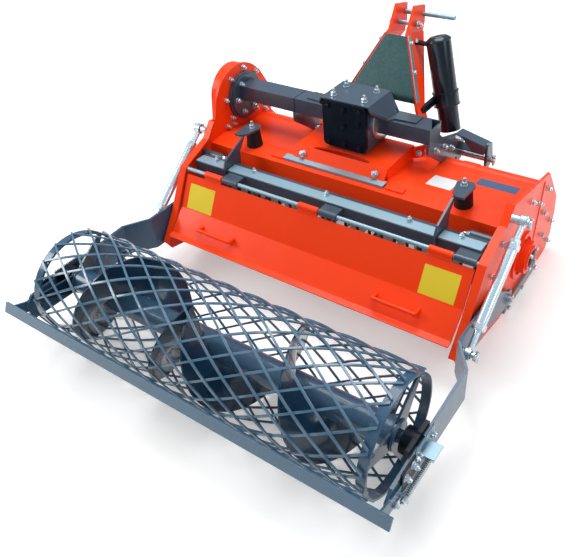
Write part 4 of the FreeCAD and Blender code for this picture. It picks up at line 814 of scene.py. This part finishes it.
# %% [markdown]
# Turnbuckles set how deep the machine works.  The sleeve has a six-sided grip near each end, a locknut bears on its
# upper end, and the eyes turn on pins with linch pins.  The upper screw's thread is a fine helix of wire laid on it,
# because a helix shows its pitch from every side.  The lower screw runs into the sleeve, so it stays smooth.
# %% Turnbuckles
EYE_X, UPPER_EYE, LOWER_EYE = 694, (-175, 462), (-540, 185)
EYE_TO_EYE, SLEEVE_FROM_EYE = 458.2, 78
GRIP = ((19, -24), (22, -22), (22, -4), (19, -2), (18.2, -2))
LOCKNUT = ((15, 0.5), (17.5, 2), (17.5, 13), (15, 15), (10.4, 15))
EYE_WASHER = ((16, 0), (16, 2.5), (9.2, 2.5))
EYE_PEG = ((3, -17), (4, -16), (4, 12), (6.5, 12), (6.5, 17), (0, 18))
PIN_ENDS = {"housing": (UPPER_EYE, 710), "roller_frame": (LOWER_EYE, 714)}
PER_TURN = 16  # points in each turn of a helix


def helix(start, end, radius, turns):
    """Points along a screw line from start to end, of that radius in millimetres."""
    axis = end - start
    first = axis.orthogonal().normalized()
    second = axis.normalized().cross(first)
    count = turns * PER_TURN
    angles = [tau * k / PER_TURN for k in range(count + 1)]
    return [start + axis * (k / count) + (first * cos(a) + second * sin(a)) * radius * MM
            for k, a in enumerate(angles)]


for side, name in ((1, "right"), (-1, "left")):
    upper, lower = at(side * EYE_X, *UPPER_EYE), at(side * EYE_X, *LOWER_EYE)
    along = (lower - upper).normalized()
    sleeve_start, sleeve_end = [upper + along * d * MM for d in (SLEEVE_FROM_EYE, EYE_TO_EYE - SLEEVE_FROM_EYE)]
    sleeve = f"turnbuckle_{name}"
    shape = bmesh.new()
    spin(shape, GRIP, sleeve_start, -along, 6)
    spin(shape, GRIP, sleeve_end, along, 6)
    spin(shape, LOCKNUT, sleeve_start, -along, 6, 0.4)
    plated(f"turnbuckle_nuts_{name}", shape, sleeve)
    thread = helix(upper + along * 24 * MM, upper + along * 62 * MM, radius=10, turns=13)
    wire(f"turnbuckle_thread_{name}", [thread], 1.6, ZINC_BOLT, sleeve)

    for body, (eye, x) in PIN_ENDS.items():
        end = at(side * x, *eye)
        peg = end + RIGHT * side * 7 * MM
        shape = bmesh.new()
        spin(shape, EYE_WASHER, end, RIGHT * side, 28)
        spin(shape, EYE_PEG, peg, (0, 0.5, 1), 14)
        plated(f"turnbuckle_peg_{body}_{name}", shape, body)
        wire(f"turnbuckle_ring_{body}_{name}", [loop(peg + DOWN * 8 * MM, (1, 0.2, 0.3), 15)], 2.6,
             ZINC_BOLT, body, closed=True)

# %% [markdown]
# At the end of each arm a spring holds the scraper against the roller, so that it can give when a stone jams.  The
# CAD part is a plain rod between two lugs.  Here a real coil of round wire on a guide rod takes its place.
# %% Scraper springs
COIL_R, COIL_WIRE, COIL_TURNS, COIL_END = 8.6, 3.4, 21, 10
ROD_R, ROD_PAST_REAR, ROD_PAST_FRONT = 4.5, 24, 22
LUG_WIDE, LUG_HALF_HIGH, LUG_THICK = 26, 14, 8

spring_low, spring_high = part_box("scraper_springs")
spring_z = (spring_low.z + spring_high.z) / 2
coils, lugs, rods = [], bmesh.new(), bmesh.new()
for side in (-1, 1):
    x = side * (spring_high.x - 12 * MM)
    rear = Vector((x, spring_low.y + COIL_END * MM, spring_z))
    front = Vector((x, spring_high.y - COIL_END * MM, spring_z))
    coils.append(helix(rear, front, COIL_R, COIL_TURNS))
    reach = (front - rear).length / MM + ROD_PAST_FRONT
    spin(rods, [(ROD_R, -ROD_PAST_REAR), (ROD_R, reach), (0, reach + 1)], rear, FORWARDS, 14)
    near, far = sorted((side * (spring_high.x - LUG_WIDE * MM), side * spring_high.x))
    for y in (rear.y - 10 * MM, front.y):
        box(lugs, Vector((near, y, spring_z - LUG_HALF_HIGH * MM)),
            Vector((far, y + LUG_THICK * MM, spring_z + LUG_HALF_HIGH * MM)))
    bolt(lugs, front + FORWARDS * 9 * MM, FORWARDS, flats=15, stud=6)
    bolt(lugs, rear + REARWARDS * 10 * MM, REARWARDS, flats=15, stud=6)
coil_piece = wire("scraper_coils", coils, COIL_WIRE, ZINC_BOLT, "roller_frame")
close("scraper_spring_lugs", lugs, ZINC_BOLT, "roller_frame", soften=0.8)
close("scraper_spring_rods", rods, BLACK, "roller_frame")
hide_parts("scraper_springs")

# %% [markdown]
# The arms are flat bars, and everything at their rear end is bolted on: the roller's bearings with four bolts each,
# a dark pad for the scraper's bracket, a plated angle whose toothed edge locks the scraper's setting and whose shelf
# keeps the spring in line, and the scraper's own bolts.  Places on the right arm are mirrored to the left.
# %% Arm ends
BEARING_BOLTS = [(y, z) for y in (-977, -889) for z in (166, 208)]
PAD_LOW, PAD_HIGH = (0.2, -1060, 158), (8, -984, 232)  # out from the arm's face, forwards, up
SHELF_LOW, SHELF_HIGH = (4.3, -956, 197), (46, -900, 201)
TEETH = [(-980 + 7 * k + step, 243 - 3 * step) for k in range(16) for step in (0, 3)]
ANGLE_OUTLINE = [(-868, 197), (-980, 197)] + TEETH
ANGLE_OFF, ANGLE_THICK = 0.3, 4
FIXINGS = (((4.3, -966, 214), 13, 4), ((4.3, -884, 214), 13, 4), ((8, -1006, 216), 17, 6), ((8, -1044, 206), 17, 6),
           ((0.2, -1098, 150), 17, 8))  # place, width across the flats, stud

arm_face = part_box("roller_arm_right")[1].x


def on_arm(side, off, forwards, up):
    """A place that far out from the outer face of the arm on that side."""
    return Vector((side * (arm_face + off * MM), at(0, forwards, 0).y, up * MM))


def arm_box(shape, side, first, last):
    a, b = on_arm(side, *first), on_arm(side, *last)
    box(shape, Vector((min(a.x, b.x), a.y, a.z)), Vector((max(a.x, b.x), b.y, b.z)))


bolts_on("bearing_bolts", "roller_arm_right", beside(1, BEARING_BOLTS), LEFT, "roller_frame", flats=15, stud=6)
bolts_on("bearing_bolts_left", "roller_arm_left", beside(-1, BEARING_BOLTS), RIGHT, "roller_frame", flats=15, stud=6)

pads, angles, fixings = bmesh.new(), bmesh.new(), bmesh.new()
for side in (-1, 1):
    arm_box(pads, side, PAD_LOW, PAD_HIGH)
    push(angles, [on_arm(side, ANGLE_OFF, y, z) for y, z in ANGLE_OUTLINE], RIGHT * side * ANGLE_THICK * MM)
    arm_box(angles, side, SHELF_LOW, SHELF_HIGH)
    for place, flats, stud in FIXINGS:
        bolt(fixings, on_arm(side, *place), RIGHT * side, flats=flats, stud=stud)
close("arm_end_pads", pads, BLACK, "roller_frame", soften=2)
close("scraper_gap_angles", angles, ZINC_DULL, "roller_frame", soften=0.6)
plated("arm_end_bolts", fixings, "roller_frame")

# %% [markdown]
# A welded machine shows its welds.  A bead is a row of small overlapping ridges, so a wavy wire along the joint reads
# as one.  Beads run round the spokes' feet on the roller, and along the edge of the hitch plate.
# %% Weld beads
BEAD_THICK, BEAD_PITCH, BEAD_WAVE = 5, 4, 0.5
FOOT_R, FOOT_OUT = 47, 5.5
HITCH_BEADS = ((24, 250, 262), (22, 250, 238), (112, 250, 262), (110, 250, 238))  # forwards, first and last x


def bead(start, end):
    """A slightly wavy line, so that the bead swells and thins as a weld does."""
    count = max(6, int((end - start).length / (BEAD_PITCH * MM)))
    side = (end - start).orthogonal().normalized()
    return [start.lerp(end, k / count) + side * BEAD_WAVE * MM * sin(2.4 * k) for k in range(count + 1)]


roller = middle_of("roller_shaft")
spoke_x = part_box("roller_spokes")[1].x - 4 * MM
feet = [Vector((side * spoke_x + off * MM, roller.y, roller.z)) for side in (-1, 1) for off in (-FOOT_OUT, FOOT_OUT)]
wire("spoke_welds", [loop(foot, RIGHT, FOOT_R, 60) for foot in feet], BEAD_THICK, ROLLER_BLUE, "roller",
     closed=True)
wire("hitch_welds", [bead(at(x0, y, 525), at(x1, y, 525)) for y, x0, x1 in HITCH_BEADS], BEAD_THICK, DARK,
     "housing")

# %% [markdown]
# The floor is a plain pale sheet.  It shows white to the camera and in reflections, through Light Path, but its light
# on the machine stays that of pale paper, and it keeps the soft shadow.  Away from the machine the lamps fade, so the
# white is turned up with distance there, and the floor meets the white world without a seam.
# %% Floor
FLOOR_REACH = 14.0
WHITE_FROM, WHITE_TO, WHITE_NEAR = 1.4, 4.5, 0.32  # metres from the middle, and the strength near it

floor_mesh = bpy.data.meshes.new("floor")
corners = [(x * FLOOR_REACH, y * FLOOR_REACH, 0) for x, y in ((-1, -1), (1, -1), (1, 1), (-1, 1))]
floor_mesh.from_pydata(corners, [], [(0, 1, 2, 3)])
floor = bpy.data.objects.new("floor", floor_mesh)
floor.location.z = -0.5 * MM
bpy.context.scene.collection.objects.link(floor)

paper = bpy.data.materials.new("pale_floor")
paper.use_nodes = True
tree = paper.node_tree
shader = tree.nodes["Principled BSDF"]
path = add(tree, "LightPath").outputs
seen = maths(tree, "MAXIMUM", path["Is Glossy Ray"], path["Is Transmission Ray"])
seen = maths(tree, "MAXIMUM", path["Is Camera Ray"], seen)
grain = add(tree, "TexNoise", {"Scale": 3.0, "Detail": 3.0}).outputs[0]
away = add(tree, "VectorMath", {0: add(tree, "TexCoord").outputs["Object"]}, operation="LENGTH").outputs["Value"]
white = rescale(tree, away, WHITE_FROM, WHITE_TO, WHITE_NEAR, 1.0)
shader.inputs["Roughness"].default_value = 0.9
shader.inputs["Specular IOR Level"].default_value = 0.1
shader.inputs["Emission Color"].default_value = (1.0, 1.0, 1.0, 1.0)
tree.links.new(rescale(tree, grain, 0.0, 1.0, 0.80, 0.84), shader.inputs["Base Color"])
tree.links.new(maths(tree, "MULTIPLY", seen, white), shader.inputs["Emission Strength"])
floor_mesh.materials.append(paper)
print("floor", 2 * FLOOR_REACH, "m wide")

# %% [markdown]
# The light is that of a bright overcast day brought indoors: a wide soft box overhead, a second from the left rear
# that picks out the rear faces, and a weaker one on the right.  The world adds an even fill.  Shiny parts see it as a
# pale blue sky that is dim at the horizon and bright overhead, so that zinc and sloping paint reflect a gradient and
# not one flat tone.
# %% Light
SKY_BLUE = (0.62, 0.82, 1.0, 1.0)


def soft_box(name, place, aim, side, watts, tint=(1.0, 1.0, 1.0)):
    """A square lamp with sides of that many metres, turned to look at a point."""
    data = bpy.data.lights.new(name, "AREA")
    data.shape = "RECTANGLE"
    data.size, data.size_y = side, side
    data.energy = watts
    data.color = tint
    lamp = bpy.data.objects.new(name, data)
    lamp.location = place
    lamp.rotation_euler = (Vector(aim) - Vector(place)).to_track_quat("-Z", "Y").to_euler()
    bpy.context.scene.collection.objects.link(lamp)


soft_box("overhead", place=(-0.4, 0.9, 3.6), aim=(0, 0, 0.3), side=2.4, watts=95)
soft_box("rear_left", place=(-3.6, -1.9, 2.6), aim=(0, -0.2, 0.3), side=1.5, watts=70)
soft_box("right", place=(3.4, 0.2, 1.8), aim=(0.3, 0, 0.3), side=1.4, watts=26, tint=(0.94, 0.97, 1.0))

world = bpy.data.worlds.new("studio")
bpy.context.scene.world = world
world.use_nodes = True
tree = world.node_tree
tree.nodes.clear()
direction = add(tree, "TexCoord").outputs["Generated"]
height = add(tree, "SeparateXYZ", {0: direction}).outputs["Z"]
path = add(tree, "LightPath").outputs
glossy = path["Is Glossy Ray"]
fill = maths(tree, "MULTIPLY", rescale(tree, height, -0.1, 0.9, 0.44, 0.52), maths(tree, "SUBTRACT", 1.0, glossy))
shine = maths(tree, "MULTIPLY", rescale(tree, height, 0.0, 0.8, 0.25, 1.0), glossy)
seen = maths(tree, "MAXIMUM", path["Is Camera Ray"], path["Is Transmission Ray"])
level = maths(tree, "MAXIMUM", maths(tree, "ADD", fill, shine), seen)
tint = blend(tree, glossy, (1.0, 1.0, 1.0, 1.0), SKY_BLUE)
background = add(tree, "Background", {"Color": tint, "Strength": level})
add(tree, "OutputWorld", {"Surface": background.outputs[0]})
print("three soft boxes and a studio world")
